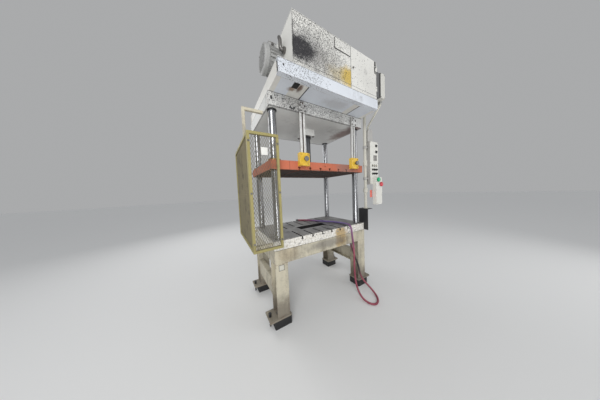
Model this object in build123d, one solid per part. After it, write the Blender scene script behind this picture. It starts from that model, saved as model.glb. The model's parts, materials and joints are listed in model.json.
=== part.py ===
from build123d import *
import math
import os

# Die casting trim press: a four-column hydraulic press on an open welded stand, with its power unit
# carried on a platform above the crown. Millimetres, Z up, X along the front, front facing -Y.
# The origin is on the floor, at the centre of the four feet.

# Driving sizes: stand and bed
BED_W = 1466.0
BED_D = 864.0
BED_TOP = 965.0
BOLSTER_T = 100.0
APRON_H = 157.0
APRON_T = 20.0
APRON_FLANGE_W = 70.0
APRON_FLANGE_T = 12.0
LEG_W = 148.0
LEG_D = 155.0
LEG_FLANGE_T = 10.0
LEG_WEB_T = 8.0
LEG_ROOT_R = 8.0
FOOT_PLATE_T = 20.0
FOOT_PLATE_EAR = 92.0
FOOT_PLATE_LIP = 14.0
PAD_H = 90.0
PAD_W = 200.0
PAD_D = 180.0
PAD_OVERHANG = 36.0
PAD_CORNER_R = 12.0
ANCHOR_HOLE_D = 24.0
SCREW_D = 20.0
SCREW_HEAD_AF = 30.0
SCREW_HEAD_H = 13.0
SCREW_NUT_H = 14.0
SCREW_STANDOFF = 12.0
SCREW_INSET = 26.0
SCREW_FLOOR_GAP = 2.0
RAIL_H = 205.0
RAIL_BOTTOM = 300.0
RAIL_FLANGE_W = 60.0
RAIL_T = 8.0

# T-slots and the scrap opening
SLOT_PITCH = 152.4
SLOT_COUNT = 6
SLOT_NECK_W = 18.0
SLOT_NECK_H = 20.0
SLOT_HEAD_W = 32.0
SLOT_HEAD_H = 14.0
SLOT_LAND = 60.0
OPENING_W = 460.0
OPENING_D = 150.0
OPENING_Y = -70.0
OUTER_SLOT_EXTRA = 60.0
PLATE_CHAMFER = 6.0

# Columns
COLUMN_INSET_X = 84.0
COLUMN_INSET_Y = 87.0
COLUMN_D = 85.0
COLUMN_END_D = 76.0
COLUMN_NUT_AF = 90.0
COLUMN_NUT_H = 50.0
COLUMN_END_LENGTH = 12.0
COLUMN_CHAMFER = 3.0
FIT_GAP = 0.3
RUNNING_GAP = 0.08

# Platen, at the height of the photograph
PLATEN_SETBACK_X = 9.5
PLATEN_SETBACK_Y = 4.0
PLATEN_T = 100.0
PLATEN_BOTTOM = 1742.0
PLATEN_STROKE_DOWN = 560.0
PLATEN_STROKE_UP = 20.0
BUSHING_D = 116.0
BUSHING_FLANGE_D = 142.0
BUSHING_FLANGE_T = 18.0
BUSHING_END_GAP = 4.0
EYE_D = 14.0
EYE_DEPTH = 40.0
EYE_RISE = 60.0

# Crown
CROWN_SETBACK_X = 23.0
CROWN_BOTTOM = 2391.0
CROWN_H = 139.0
CROWN_PLATE_T = 50.0
CROWN_BEAM_T = 20.0
CROWN_SIDE_T = 12.0
CROWN_FLANGE_W = 60.0
CROWN_FLANGE_T = 12.0

# Main cylinder
ROD_D = 127.0
ROD_FLANGE_D = 220.0
ROD_FLANGE_T = 40.0
ROD_SPIGOT_D = 70.0
ROD_BOLTS = 8
ROD_BOLT_AF = 19.0
ROD_BOLT_H = 10.0
BORE_D = 152.0
BARREL_D = 180.0
HEAD_W = 190.0
HEAD_H = 86.0
HEAD_BORE_GAP = 2.0
HEAD_CHAMFER = 5.0
GLAND_D = 150.0
GLAND_H = 25.0
GLAND_CHAMFER = 3.0
PISTON_H = 80.0
PISTON_GROOVE_W = 8.0
PISTON_GROOVE_DEPTH = 6.0
PISTON_GROOVE_INSET = 20.0
CAP_H = 80.0
CAP_D = 205.0
CAP_CHAMFER = 4.0
PORT_BOSS_D = 60.0
PORT_BOSS_REACH = 18.0
PORT_BOSS_ROOT = 20.0
PORT_D = 32.0
CUSHION = 35.0

# Power-unit platform
PLATFORM_W = 1400.0
PLATFORM_FRONT = -695.0
PLATFORM_H = 125.0
CHANNEL_FLANGE_W = 50.0
CHANNEL_T = 8.0
BEARER_W = 90.0
BEARER_WALL = 6.0
BEARER_LEFT_X = -405.0
BEARER_RIGHT_X = 352.0
DECK_T = 6.0
SOFFIT_T = 4.0
SOFFIT_GAP = 12.0
SOFFIT_SLOT_W = 66.0
BARREL_HOLE_GAP = 10.0

# Oil tank and electrical cabinet
TANK_LEFT = -540.0
TANK_RIGHT = 205.0
TANK_FRONT = -690.0
TANK_D = 490.0
TANK_BOTTOM_GAP = 34.0
TANK_H = 424.0
TANK_WALL = 4.0
SHAFT_HOLE_GAP = 5.0
LID_T = 6.0
SKID_W = 40.0
FILLER_D = 80.0
FILLER_H = 70.0
FILLER_INSET = 90.0
FILLER_WALL = 10.0
FILLER_NECK_H = 20.0
FILLER_ROUND = 8.0
CABINET_GAP = 4.0
CABINET_RIGHT = 690.0
CABINET_D = 250.0
CABINET_WALL = 2.5
DOOR_T = 3.0
DOOR_GAP = 2.0
HINGE_D = 10.0
HINGE_LENGTH = 60.0
HINGE_INSET = 90.0
HINGE_LEAF_W = 24.0
HINGE_LEAF_T = 3.0
LATCH_D = 22.0
LATCH_H = 8.0
LATCH_INSET = 28.0
BACKPLATE_INSET = 30.0
BACKPLATE_T = 3.0
CONTACTOR_COUNT = 3
CONTACTOR_W = 70.0
CONTACTOR_H = 90.0
CONTACTOR_D = 87.0
CONTACTOR_PITCH = 120.0
CONTACTOR_FIRST = 110.0
CONTACTOR_RISE = 220.0
TERMINAL_INSET = 60.0
TERMINAL_D = 47.0
TERMINAL_H = 40.0
TERMINAL_RISE = 90.0
JUNCTION_OVERHANG = 88.0
JUNCTION_D = 290.0
JUNCTION_COVER_T = 14.0
SHEET_T = 2.5
JUNCTION_H = 320.0
JUNCTION_BOTTOM = 2720.0
JUNCTION_SETBACK = 20.0

# Pump motor on the left end of the tank
MOTOR_Y = -350.0
MOTOR_Z = 2880.0
MOTOR_D = 224.0
MOTOR_BORE_D = 196.0
MOTOR_FIN_H = 18.0
MOTOR_FIN_T = 5.0
MOTOR_FIN_COUNT = 22
MOTOR_FIN_ROOT = 25.0
MOTOR_FIN_INSET = 15.0
MOTOR_END_WALL = 8.0
MOTOR_LENGTH = 126.0
MOTOR_FLANGE_D = 250.0
MOTOR_FLANGE_T = 18.0
COWL_D = 262.0
COWL_LENGTH = 46.0
COWL_ROUND = 14.0
COWL_SLOTS = 9
COWL_SLOT_PITCH = 22.0
COWL_SLOT_H = 10.0
COWL_WALL = 2.5
COWL_RING_GAP = 7.0
SHAFT_D = 28.0
ROTOR_D = 150.0
ROTOR_INSET = 24.0
STATOR_INSET = 20.0
STATOR_GAP = 1.0
FAN_D = 190.0
FAN_BLADES = 7
FAN_HUB_D = 60.0
FAN_HUB_L = 26.0
FAN_BLADE_ROOT = 26.0
FAN_BLADE_W = 22.0
FAN_BLADE_T = 4.0
PUMP_D = 110.0
PUMP_LENGTH = 120.0
PUMP_BELL_L = 70.0
PUMP_BELL_WALL = 12.0
SUCTION_D = 48.0
SUCTION_GAP = 40.0
PUMP_STEP = 10.0
SHAFT_BELL_GAP = 10.0

# Valve manifold
MANIFOLD_X = 260.0
MANIFOLD_Y = 120.0
MANIFOLD_W = 220.0
MANIFOLD_D = 140.0
MANIFOLD_H = 120.0
VALVE_W = 70.0
VALVE_D = 120.0
VALVE_H = 70.0
SOLENOID_D = 56.0
SOLENOID_LENGTH = 80.0

# Safety lock at the front of the platen
LOCK_LEFT_X = -330.0
LOCK_RIGHT_X = 505.0
LOCK_BAR_W = 66.0
LOCK_BAR_D = 24.0
LOCK_BAR_T = 6.0
LOCK_BAR_BOTTOM = 1800.0
LOCK_BAR_TOP = 2505.0
LOCK_BOLT_D = 22.0
LOCK_BOLT_H = 10.0
LOCK_BOLT_DROPS = (25.0, 85.0)
LOCK_SLOT_GAP = 2.0
LOCK_SLOT_EXTRA = 12.0
LOCK_HOUSING_W = 132.0
LOCK_HOUSING_D = 52.0
LOCK_HOUSING_BOTTOM = 1785.0
LOCK_HOUSING_H = 146.0
LOCK_HOUSING_CHAMFER = 4.0
LOCK_SIDE_GAP = 2.0
LOCK_FRONT_GAP = 3.0
LOCK_PIN_D = 25.0
LOCK_PIN_Z = 1858.0
LOCK_PIN_TRAVEL = 25.0
LOCK_PIN_TIP = 1.5
LOCK_PIN_CHAMFER = 2.0
LOCK_KNOB_GAP = 2.0
LOCK_KNOB_D = 56.0
LOCK_KNOB_T = 16.0
LOCK_KNOB_ROUND = 3.0

# Guard at the left
GUARD_LEFT = -962.0
GUARD_RIGHT = -657.0
GUARD_FRONT = -517.0
GUARD_REAR = 370.0
GUARD_BOTTOM = 922.0
GUARD_TOP = 2066.0
GUARD_BAR = 25.0
MESH_T = 3.0
MESH_PITCH_W = 100.0
MESH_PITCH_H = 168.0
MESH_STRAND = 9.0
GUARD_ARM = 30.0
GUARD_POST_Y = -200.0
GUARD_POST_BOTTOM = 1900.0
GUARD_POST_RISE = 10.0
GUARD_ARM_FRONT_INSET = 50.0
GUARD_ARM_REAR_INSET = 60.0

# Operator station at the right
POLE_STANDOFF_X = 67.0
POLE_INSET_Y = 12.0
POLE_D = 42.0
POLE_WALL = 4.0
POLE_UNION_Z = 1845.0
POLE_UNION_H = 80.0
POLE_UNION_D = 62.0
POLE_KNOT_Z = 1440.0
POLE_KNOT_H = 60.0
POLE_KNOT_D = 66.0
POLE_BASE_D = 72.0
POLE_BASE_T = 12.0
SHELF_Z = 1180.0
SHELF_T = 8.0
SHELF_W = 160.0
SHELF_OVERHANG = 45.0
GUSSET_H = 140.0
GUSSET_INSET = 5.0
BRANCH_D = 27.0
BRANCH_TOP_Y = -610.0
BRANCH_STUB = 45.0
STATION_STANDOFF = 55.0
STATION_W = 200.0
STATION_D = 120.0
STATION_BOTTOM = 1560.0
STATION_H = 655.0
STATION_FRONT_GAP = 50.0
HUB_W = 115.0
HUB_D = 80.0
HUB_H = 190.0
HUB_ROUND = 36.0
HUB_OVERHANG = 20.0
CLAMP_H = 40.0
CLAMP_INSET = 90.0
CLAMP_ARM = 30.0
CLAMP_WALL = 8.0
BOX_ROUND = 6.0
BUTTON_BOX_W = 150.0
BUTTON_BOX_D = 60.0
BUTTON_BOX_BOTTOM = 1243.0
BUTTON_BOX_H = 420.0
BUTTON_BOX_OVERHANG = 5.0
BUTTON_TRAVEL = 6.0
PALM_GAP = 2.0
PALM_D = 66.0
PALM_T = 20.0
PALM_ROUND = 12.0
STEM_HOLE_D = 24.0
STEM_D = 23.6
START_Z = 1626.0
STOP_Z = 1555.0
BUTTON_INSET = 40.0

# Floor hose
HOSE_D = 25.0
HOSE_BED_X = 733.0
HOSE_BED_Y = 432.0
HOSE_BED_TOP = 965.0
HOSE_LOW_Z = 100.0
HOSE_HIGH_Z = 850.0
FERRULE_D = 30.0
FERRULE_LENGTH = 32.0
LOWER_FERRULE_LENGTH = 50.0
STUB_OFFSET = 10.0

# Derived levels and faces
COLUMN_X = BED_W / 2 - COLUMN_INSET_X
COLUMN_Y = BED_D / 2 - COLUMN_INSET_Y
PLATEN_W = BED_W - 2 * PLATEN_SETBACK_X
PLATEN_D = BED_D - 2 * PLATEN_SETBACK_Y
CROWN_W = BED_W - 2 * CROWN_SETBACK_X
BOLSTER_BOTTOM = BED_TOP - BOLSTER_T
APRON_BOTTOM = BOLSTER_BOTTOM - APRON_H
FOOT_TOP = PAD_H + FOOT_PLATE_T
BED_X = BED_W / 2
BED_Y = BED_D / 2
PLATEN_TOP = PLATEN_BOTTOM + PLATEN_T
PLATEN_FRONT = -PLATEN_D / 2
CROWN_TOP = CROWN_BOTTOM + CROWN_H
CROWN_PLATE_TOP = CROWN_BOTTOM + CROWN_PLATE_T
CROWN_X = CROWN_W / 2
POLE_X = BED_X + POLE_STANDOFF_X
POLE_Y = -BED_Y + POLE_INSET_Y
JUNCTION_RIGHT = POLE_X + JUNCTION_OVERHANG
STATION_LEFT = POLE_X + STATION_STANDOFF
PLATFORM_BOTTOM = CROWN_TOP
PLATFORM_TOP = PLATFORM_BOTTOM + PLATFORM_H
DECK_TOP = PLATFORM_TOP + DECK_T
PLATFORM_X = PLATFORM_W / 2
TANK_BOTTOM = DECK_TOP + TANK_BOTTOM_GAP
TANK_TOP = TANK_BOTTOM + TANK_H
TANK_REAR = TANK_FRONT + TANK_D
ROD_TOP = CROWN_BOTTOM + PLATEN_STROKE_DOWN + CUSHION
PISTON_TOP = ROD_TOP + PISTON_H
BARREL_TOP = PISTON_TOP + CUSHION

SIDES = (-1, 1)
CORNERS = [(sx, sy) for sx in SIDES for sy in SIDES]
COLUMN_POINTS = [(sx * COLUMN_X, sy * COLUMN_Y) for sx, sy in CORNERS]
SLOT_XS = [(i - (SLOT_COUNT - 1) / 2) * SLOT_PITCH for i in range(SLOT_COUNT)]

os.makedirs("parts", exist_ok=True)
nodes = {}


def block(x0, x1, y0, y1, z0, z1):
    """A box between two corners."""
    centre = Pos((x0 + x1) / 2, (y0 + y1) / 2, (z0 + z1) / 2)
    return centre * Box(abs(x1 - x0), abs(y1 - y0), abs(z1 - z0))


def bar_x(x0, x1, y, z, d):
    """A round bar along X."""
    return Pos((x0 + x1) / 2, y, z) * Rot(0, 90, 0) * Cylinder(d / 2, abs(x1 - x0))


def bar_y(x, y0, y1, z, d):
    """A round bar along Y."""
    return Pos(x, (y0 + y1) / 2, z) * Rot(90, 0, 0) * Cylinder(d / 2, abs(y1 - y0))


def bar_z(x, y, z0, z1, d):
    """A round bar along Z."""
    return Pos(x, y, (z0 + z1) / 2) * Cylinder(d / 2, abs(z1 - z0))


def hex_z(x, y, z0, z1, across_flats):
    """A hexagonal prism along Z."""
    outline = RegularPolygon(across_flats / math.sqrt(3), 6, rotation=30)
    return Pos(x, y, z0) * extrude(outline, z1 - z0)


def group(solids):
    """Separate solids kept in one node."""
    return Compound(children=list(solids))


# Stand: four wide-flange legs on foot plates
def leg(sx, sy):
    """One leg with its foot plate, at the corner given by the signs."""
    x_out = sx * BED_X
    y_out = sy * BED_Y
    x_in = x_out - sx * LEG_W
    y_in = y_out - sy * LEG_D
    x_mid = (x_out + x_in) / 2
    y_mid = (y_out + y_in) / 2
    height = APRON_BOTTOM - FOOT_TOP
    outline = Rectangle(LEG_W, LEG_D)
    pocket_w = (LEG_W - LEG_WEB_T) / 2
    pocket_d = LEG_D - 2 * LEG_FLANGE_T
    for side in SIDES:
        pocket = Pos(side * (LEG_WEB_T + pocket_w) / 2, 0) * Rectangle(pocket_w, pocket_d)
        roots = pocket.vertices().sort_by(Axis.X)
        inner = roots[:2] if side > 0 else roots[-2:]
        outline -= fillet(inner, LEG_ROOT_R)
    beam = Pos(x_mid, y_mid, FOOT_TOP) * extrude(outline, height)
    plate = block(
        x_out + sx * FOOT_PLATE_EAR, x_in - sx * FOOT_PLATE_LIP,
        y_out + sy * FOOT_PLATE_LIP, y_in - sy * FOOT_PLATE_LIP,
        PAD_H, FOOT_TOP)
    anchor = bar_z(*anchor_point(sx, sy), PAD_H - 1, FOOT_TOP + 1, ANCHOR_HOLE_D)
    screw = bar_z(*screw_point(sx, sy), PAD_H - 1, FOOT_TOP + 1, SCREW_D + 2 * FIT_GAP)
    return beam + (plate - anchor - screw)


def anchor_point(sx, sy):
    """Centre of the floor anchor hole, in the outer pocket of the leg."""
    pocket_w = (LEG_W - LEG_WEB_T) / 2
    return sx * (BED_X - pocket_w / 2), sy * (BED_Y - LEG_D / 2)


def screw_point(sx, sy):
    """Centre of the levelling screw in the ear of a foot plate."""
    return sx * (BED_X + FOOT_PLATE_EAR - SCREW_INSET), sy * (BED_Y - LEG_D / 2)


LEG_NAMES = {(-1, -1): "leg_front_left", (1, -1): "leg_front_right",
             (-1, 1): "leg_rear_left", (1, 1): "leg_rear_right"}
for (sx, sy), name in LEG_NAMES.items():
    nodes[name] = leg(sx, sy)


def foot_pad(sx, sy):
    """Solid machine pad under one foot plate."""
    x_out = sx * (BED_X + PAD_OVERHANG)
    y_out = sy * (BED_Y + FOOT_PLATE_LIP)
    pad = block(x_out, x_out - sx * PAD_W, y_out, y_out - sy * PAD_D, 0, PAD_H)
    pad = fillet(pad.edges().filter_by(Axis.Z), PAD_CORNER_R)
    return pad - bar_z(*anchor_point(sx, sy), -1, PAD_H + 1, ANCHOR_HOLE_D)


def levelling_screw(sx, sy):
    """Jack screw with its lock nut, through the ear of a foot plate."""
    x, y = screw_point(sx, sy)
    head_bottom = FOOT_TOP + SCREW_NUT_H + SCREW_STANDOFF
    shank = bar_z(x, y, SCREW_FLOOR_GAP, head_bottom, SCREW_D)
    head = hex_z(x, y, head_bottom, head_bottom + SCREW_HEAD_H, SCREW_HEAD_AF)
    nut = hex_z(x, y, FOOT_TOP, FOOT_TOP + SCREW_NUT_H, SCREW_HEAD_AF)
    return shank + head + nut


nodes["foot_pads"] = group(foot_pad(sx, sy) for sx, sy in CORNERS)
nodes["leveling_screws"] = group(levelling_screw(sx, sy) for sx, sy in CORNERS)


# Aprons: angle sections under the bolster
def long_apron(sy):
    """Front or rear apron over the full width."""
    y_out = sy * BED_Y
    web = block(-BED_X, BED_X, y_out, y_out - sy * APRON_T, APRON_BOTTOM, BOLSTER_BOTTOM)
    flange = block(-BED_X, BED_X, y_out, y_out - sy * APRON_FLANGE_W,
                   APRON_BOTTOM, APRON_BOTTOM + APRON_FLANGE_T)
    return web + flange


def side_apron(sx):
    """Side apron between the long aprons."""
    x_out = sx * BED_X
    half_web = BED_Y - APRON_T
    half_flange = BED_Y - APRON_FLANGE_W
    web = block(x_out, x_out - sx * APRON_T, -half_web, half_web,
                APRON_BOTTOM + APRON_FLANGE_T, BOLSTER_BOTTOM)
    flange = block(x_out, x_out - sx * APRON_FLANGE_W, -half_flange, half_flange,
                   APRON_BOTTOM, APRON_BOTTOM + APRON_FLANGE_T)
    return web + flange


nodes["front_apron"] = long_apron(-1)
nodes["rear_apron"] = long_apron(1)
nodes["side_aprons"] = group(side_apron(sx) for sx in SIDES)


# Side rails: channels between the legs, web outwards
def side_rail(sx):
    """One channel between the front and rear leg."""
    half = BED_Y - LEG_D
    x_out = sx * BED_X
    x_in = x_out - sx * RAIL_FLANGE_W
    outer = block(x_out, x_in, -half, half, RAIL_BOTTOM, RAIL_BOTTOM + RAIL_H)
    pocket = block(x_out - sx * RAIL_T, x_in - sx, -half - 1, half + 1,
                   RAIL_BOTTOM + RAIL_T, RAIL_BOTTOM + RAIL_H - RAIL_T)
    return outer - pocket


nodes["side_rails"] = group(side_rail(sx) for sx in SIDES)


def t_slot(x, y0, y1, face, depth_sign):
    """Cutter for a T-slot along Y; the head lies away from the face."""
    neck_end = face - depth_sign * SLOT_NECK_H
    head_end = neck_end - depth_sign * SLOT_HEAD_H
    neck = block(x - SLOT_NECK_W / 2, x + SLOT_NECK_W / 2, y0, y1, face + depth_sign, neck_end)
    head = block(x - SLOT_HEAD_W / 2, x + SLOT_HEAD_W / 2, y0, y1, neck_end, head_end)
    return neck + head


# Bolster plate with T-slots from the front and rear edges and a scrap opening
def bolster_plate():
    plate = block(-BED_X, BED_X, -BED_Y, BED_Y, BOLSTER_BOTTOM, BED_TOP)
    plate = chamfer(plate.edges().filter_by(Axis.Z), PLATE_CHAMFER)
    opening_front = OPENING_Y - OPENING_D / 2
    opening_rear = OPENING_Y + OPENING_D / 2
    plate -= block(-OPENING_W / 2, OPENING_W / 2, opening_front, opening_rear,
                   BOLSTER_BOTTOM - 1, BED_TOP + 1)
    for x in SLOT_XS:
        outer = abs(x) > OPENING_W / 2
        extra = OUTER_SLOT_EXTRA if outer else 0
        plate -= t_slot(x, -BED_Y - 1, opening_front - SLOT_LAND + extra, BED_TOP, 1)
        plate -= t_slot(x, opening_rear + SLOT_LAND - extra, BED_Y + 1, BED_TOP, 1)
    for x, y in COLUMN_POINTS:
        plate -= bar_z(x, y, BOLSTER_BOTTOM - 1, BED_TOP + 1, COLUMN_END_D + 2 * FIT_GAP)
    return plate


nodes["bolster_plate"] = bolster_plate()


# Guide columns, shouldered between bolster and crown, with a nut at each end
LOWER_END = BOLSTER_BOTTOM - COLUMN_NUT_H - COLUMN_END_LENGTH
UPPER_END = CROWN_PLATE_TOP + COLUMN_NUT_H + COLUMN_END_LENGTH


def guide_column(x, y):
    middle = bar_z(x, y, BED_TOP, CROWN_BOTTOM, COLUMN_D)
    ends = bar_z(x, y, LOWER_END, UPPER_END, COLUMN_END_D)
    column = middle + ends
    tips = column.edges().filter_by(GeomType.CIRCLE).sort_by(Axis.Z)
    return chamfer([tips[0], tips[-1]], COLUMN_CHAMFER)


def column_nut(x, y, z0):
    bore = bar_z(x, y, z0 - 1, z0 + COLUMN_NUT_H + 1, COLUMN_END_D + 2 * FIT_GAP)
    return hex_z(x, y, z0, z0 + COLUMN_NUT_H, COLUMN_NUT_AF) - bore


nodes["guide_columns"] = group(guide_column(x, y) for x, y in COLUMN_POINTS)
nodes["column_nuts"] = group(
    column_nut(x, y, z0)
    for z0 in (BOLSTER_BOTTOM - COLUMN_NUT_H, CROWN_PLATE_TOP)
    for x, y in COLUMN_POINTS)


# Crown: thick bottom plate inside a ring of beams
def crown_plate():
    half_x = CROWN_X - CROWN_SIDE_T
    half_y = BED_Y - CROWN_BEAM_T
    plate = block(-half_x, half_x, -half_y, half_y, CROWN_BOTTOM, CROWN_PLATE_TOP)
    plate -= bar_z(0, 0, CROWN_BOTTOM - 1, CROWN_PLATE_TOP + 1, BARREL_D + 2 * FIT_GAP)
    for x, y in COLUMN_POINTS:
        plate -= bar_z(x, y, CROWN_BOTTOM - 1, CROWN_PLATE_TOP + 1, COLUMN_END_D + 2 * FIT_GAP)
    return plate


def crown_beam(sy):
    y_out = sy * BED_Y
    web = block(-CROWN_X, CROWN_X, y_out, y_out - sy * CROWN_BEAM_T, CROWN_BOTTOM, CROWN_TOP)
    flange = block(-CROWN_X + CROWN_SIDE_T, CROWN_X - CROWN_SIDE_T,
                   y_out - sy * CROWN_BEAM_T, y_out - sy * (CROWN_BEAM_T + CROWN_FLANGE_W),
                   CROWN_TOP - CROWN_FLANGE_T, CROWN_TOP)
    return web + flange


def crown_side(sx):
    half_y = BED_Y - CROWN_BEAM_T
    x_out = sx * CROWN_X
    return block(x_out, x_out - sx * CROWN_SIDE_T, -half_y, half_y, CROWN_BOTTOM, CROWN_TOP)


nodes["crown_plate"] = crown_plate()
nodes["crown_front_beam"] = crown_beam(-1)
nodes["crown_rear_beam"] = crown_beam(1)
nodes["crown_side_plates"] = group(crown_side(sx) for sx in SIDES)


# Main cylinder, hung under the crown plate and rising through the platform
def cylinder_head():
    head = block(-HEAD_W / 2, HEAD_W / 2, -HEAD_W / 2, HEAD_W / 2,
                 CROWN_BOTTOM - HEAD_H, CROWN_BOTTOM)
    head = chamfer(head.edges().filter_by(Axis.Z), HEAD_CHAMFER)
    return head - bar_z(0, 0, CROWN_BOTTOM - HEAD_H - 1, CROWN_BOTTOM + 1, ROD_D + 2 * HEAD_BORE_GAP)


def cylinder_barrel():
    tube = bar_z(0, 0, CROWN_BOTTOM, BARREL_TOP, BARREL_D)
    return tube - bar_z(0, 0, CROWN_BOTTOM - 1, BARREL_TOP + 1, BORE_D)


def cylinder_cap():
    cap = bar_z(0, 0, BARREL_TOP, BARREL_TOP + CAP_H, CAP_D)
    port_z = BARREL_TOP + CAP_H / 2
    boss_end = CAP_D / 2 + PORT_BOSS_REACH
    port_boss = bar_y(0, CAP_D / 2 - PORT_BOSS_ROOT, boss_end, port_z, PORT_BOSS_D)
    cap = chamfer(cap.edges().sort_by(Axis.Z)[-1], CAP_CHAMFER) + port_boss
    return cap - bar_y(0, 0, boss_end + 1, port_z, PORT_D)


def rod_gland():
    top = CROWN_BOTTOM - HEAD_H
    ring = bar_z(0, 0, top - GLAND_H, top, GLAND_D)
    ring = chamfer(ring.edges().sort_by(Axis.Z)[0], GLAND_CHAMFER)
    return ring - bar_z(0, 0, top - GLAND_H - 1, top + 1, ROD_D + 2 * RUNNING_GAP)


def ram_rod():
    rod = bar_z(0, 0, PLATEN_TOP, ROD_TOP, ROD_D)
    spigot = bar_z(0, 0, ROD_TOP, PISTON_TOP, ROD_SPIGOT_D)
    flange = bar_z(0, 0, PLATEN_TOP, PLATEN_TOP + ROD_FLANGE_T, ROD_FLANGE_D)
    bolt_ring = (ROD_FLANGE_D + ROD_D) / 4
    rod = rod + spigot + flange
    seat = PLATEN_TOP + ROD_FLANGE_T
    for i in range(ROD_BOLTS):
        angle = 2 * math.pi * (i + 0.5) / ROD_BOLTS
        x = bolt_ring * math.cos(angle)
        y = bolt_ring * math.sin(angle)
        rod += hex_z(x, y, seat, seat + ROD_BOLT_H, ROD_BOLT_AF)
    return rod


def ram_piston():
    piston = bar_z(0, 0, ROD_TOP, PISTON_TOP, BORE_D - 2 * RUNNING_GAP)
    half = PISTON_GROOVE_W / 2
    for z in (ROD_TOP + PISTON_GROOVE_INSET, PISTON_TOP - PISTON_GROOVE_INSET):
        root = bar_z(0, 0, z - half - 1, z + half + 1, BORE_D - 2 * PISTON_GROOVE_DEPTH)
        piston -= bar_z(0, 0, z - half, z + half, BORE_D + 1) - root
    return piston - bar_z(0, 0, ROD_TOP - 1, PISTON_TOP + 1, ROD_SPIGOT_D + 2 * FIT_GAP)


nodes["cylinder_head"] = cylinder_head()
nodes["cylinder_barrel"] = cylinder_barrel()
nodes["cylinder_cap"] = cylinder_cap()
nodes["rod_gland"] = rod_gland()
nodes["ram_rod"] = ram_rod()
nodes["ram_piston"] = ram_piston()


# Moving platen with its guide bushings
def platen():
    plate = block(-PLATEN_W / 2, PLATEN_W / 2, -PLATEN_D / 2, PLATEN_D / 2,
                  PLATEN_BOTTOM, PLATEN_TOP)
    plate = chamfer(plate.edges().filter_by(Axis.Z), PLATE_CHAMFER)
    for x in SLOT_XS:
        plate -= t_slot(x, -PLATEN_D / 2 - 1, PLATEN_D / 2 + 1, PLATEN_BOTTOM, -1)
    for x, y in COLUMN_POINTS:
        plate -= bar_z(x, y, PLATEN_BOTTOM - 1, PLATEN_TOP + 1, BUSHING_D + 2 * FIT_GAP)
    eye = bar_y(0, PLATEN_FRONT - 1, PLATEN_FRONT + EYE_DEPTH, PLATEN_BOTTOM + EYE_RISE, EYE_D)
    return plate - eye


def guide_bushing(x, y):
    top = PLATEN_TOP + BUSHING_FLANGE_T
    body = bar_z(x, y, PLATEN_BOTTOM + BUSHING_END_GAP, PLATEN_TOP, BUSHING_D)
    flange = bar_z(x, y, PLATEN_TOP, top, BUSHING_FLANGE_D)
    sleeve = body + flange
    return sleeve - bar_z(x, y, PLATEN_BOTTOM, top + 1, COLUMN_D + 2 * RUNNING_GAP)


nodes["platen"] = platen()
nodes["guide_bushings"] = group(guide_bushing(x, y) for x, y in COLUMN_POINTS)


# Safety lock: slotted bars under the crown beam, housings on the platen, one pin in each
LOCK_XS = (LOCK_LEFT_X, LOCK_RIGHT_X)
BAR_BACK = -BED_Y
BAR_FRONT = BAR_BACK - LOCK_BAR_D


def lock_bar(x):
    half = LOCK_BAR_W / 2
    bar = block(x - half, x + half, BAR_FRONT, BAR_BACK, LOCK_BAR_BOTTOM, LOCK_BAR_TOP)
    bar -= block(x - half + LOCK_BAR_T, x + half - LOCK_BAR_T, BAR_FRONT - 1, BAR_BACK - LOCK_BAR_T,
                 LOCK_BAR_BOTTOM - 1, LOCK_BAR_TOP + 1)
    slot_half = LOCK_PIN_D / 2 + LOCK_SLOT_GAP
    bar -= block(x - slot_half, x + slot_half, BAR_FRONT, BAR_BACK + 1,
                 LOCK_PIN_Z - slot_half - LOCK_SLOT_EXTRA, LOCK_PIN_Z + slot_half + PLATEN_STROKE_UP)
    web_face = BAR_BACK - LOCK_BAR_T
    for drop in LOCK_BOLT_DROPS:
        bar += bar_y(x, web_face - LOCK_BOLT_H, web_face, LOCK_BAR_TOP - drop, LOCK_BOLT_D)
    return bar


def lock_housing(x):
    half = LOCK_HOUSING_W / 2
    front = PLATEN_FRONT - LOCK_HOUSING_D
    top = LOCK_HOUSING_BOTTOM + LOCK_HOUSING_H
    body = block(x - half, x + half, front, PLATEN_FRONT, LOCK_HOUSING_BOTTOM, top)
    body = chamfer(body.edges().filter_by(Axis.Z).sort_by(Axis.Y)[:2], LOCK_HOUSING_CHAMFER)
    cavity_half = LOCK_BAR_W / 2 + LOCK_SIDE_GAP
    body -= block(x - cavity_half, x + cavity_half, BAR_FRONT - LOCK_FRONT_GAP, PLATEN_FRONT + 1,
                  LOCK_HOUSING_BOTTOM - 1, top + 1)
    return body - bar_y(x, front - 1, PLATEN_FRONT, LOCK_PIN_Z, LOCK_PIN_D + 2 * RUNNING_GAP)


def lock_pin(x):
    front = PLATEN_FRONT - LOCK_HOUSING_D
    knob_back = front - LOCK_PIN_TRAVEL - LOCK_KNOB_GAP
    pin = bar_y(x, knob_back, BAR_FRONT - LOCK_PIN_TIP, LOCK_PIN_Z, LOCK_PIN_D)
    pin = chamfer(pin.edges().filter_by(GeomType.CIRCLE).sort_by(Axis.Y)[-1], LOCK_PIN_CHAMFER)
    knob = bar_y(x, knob_back - LOCK_KNOB_T, knob_back, LOCK_PIN_Z, LOCK_KNOB_D)
    return pin + fillet(knob.edges().filter_by(GeomType.CIRCLE), LOCK_KNOB_ROUND)


nodes["lock_bars"] = group(lock_bar(x) for x in LOCK_XS)
nodes["lock_housings"] = group(lock_housing(x) for x in LOCK_XS)
nodes["lock_pin_left"] = lock_pin(LOCK_LEFT_X)
nodes["lock_pin_right"] = lock_pin(LOCK_RIGHT_X)


# Platform: welded channels and bearers with a deck, overhanging the front of the crown
PLATFORM_REAR = BED_Y
MEMBER_FRONT = PLATFORM_FRONT + CHANNEL_FLANGE_W
MEMBER_REAR = PLATFORM_REAR - CHANNEL_FLANGE_W


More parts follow.
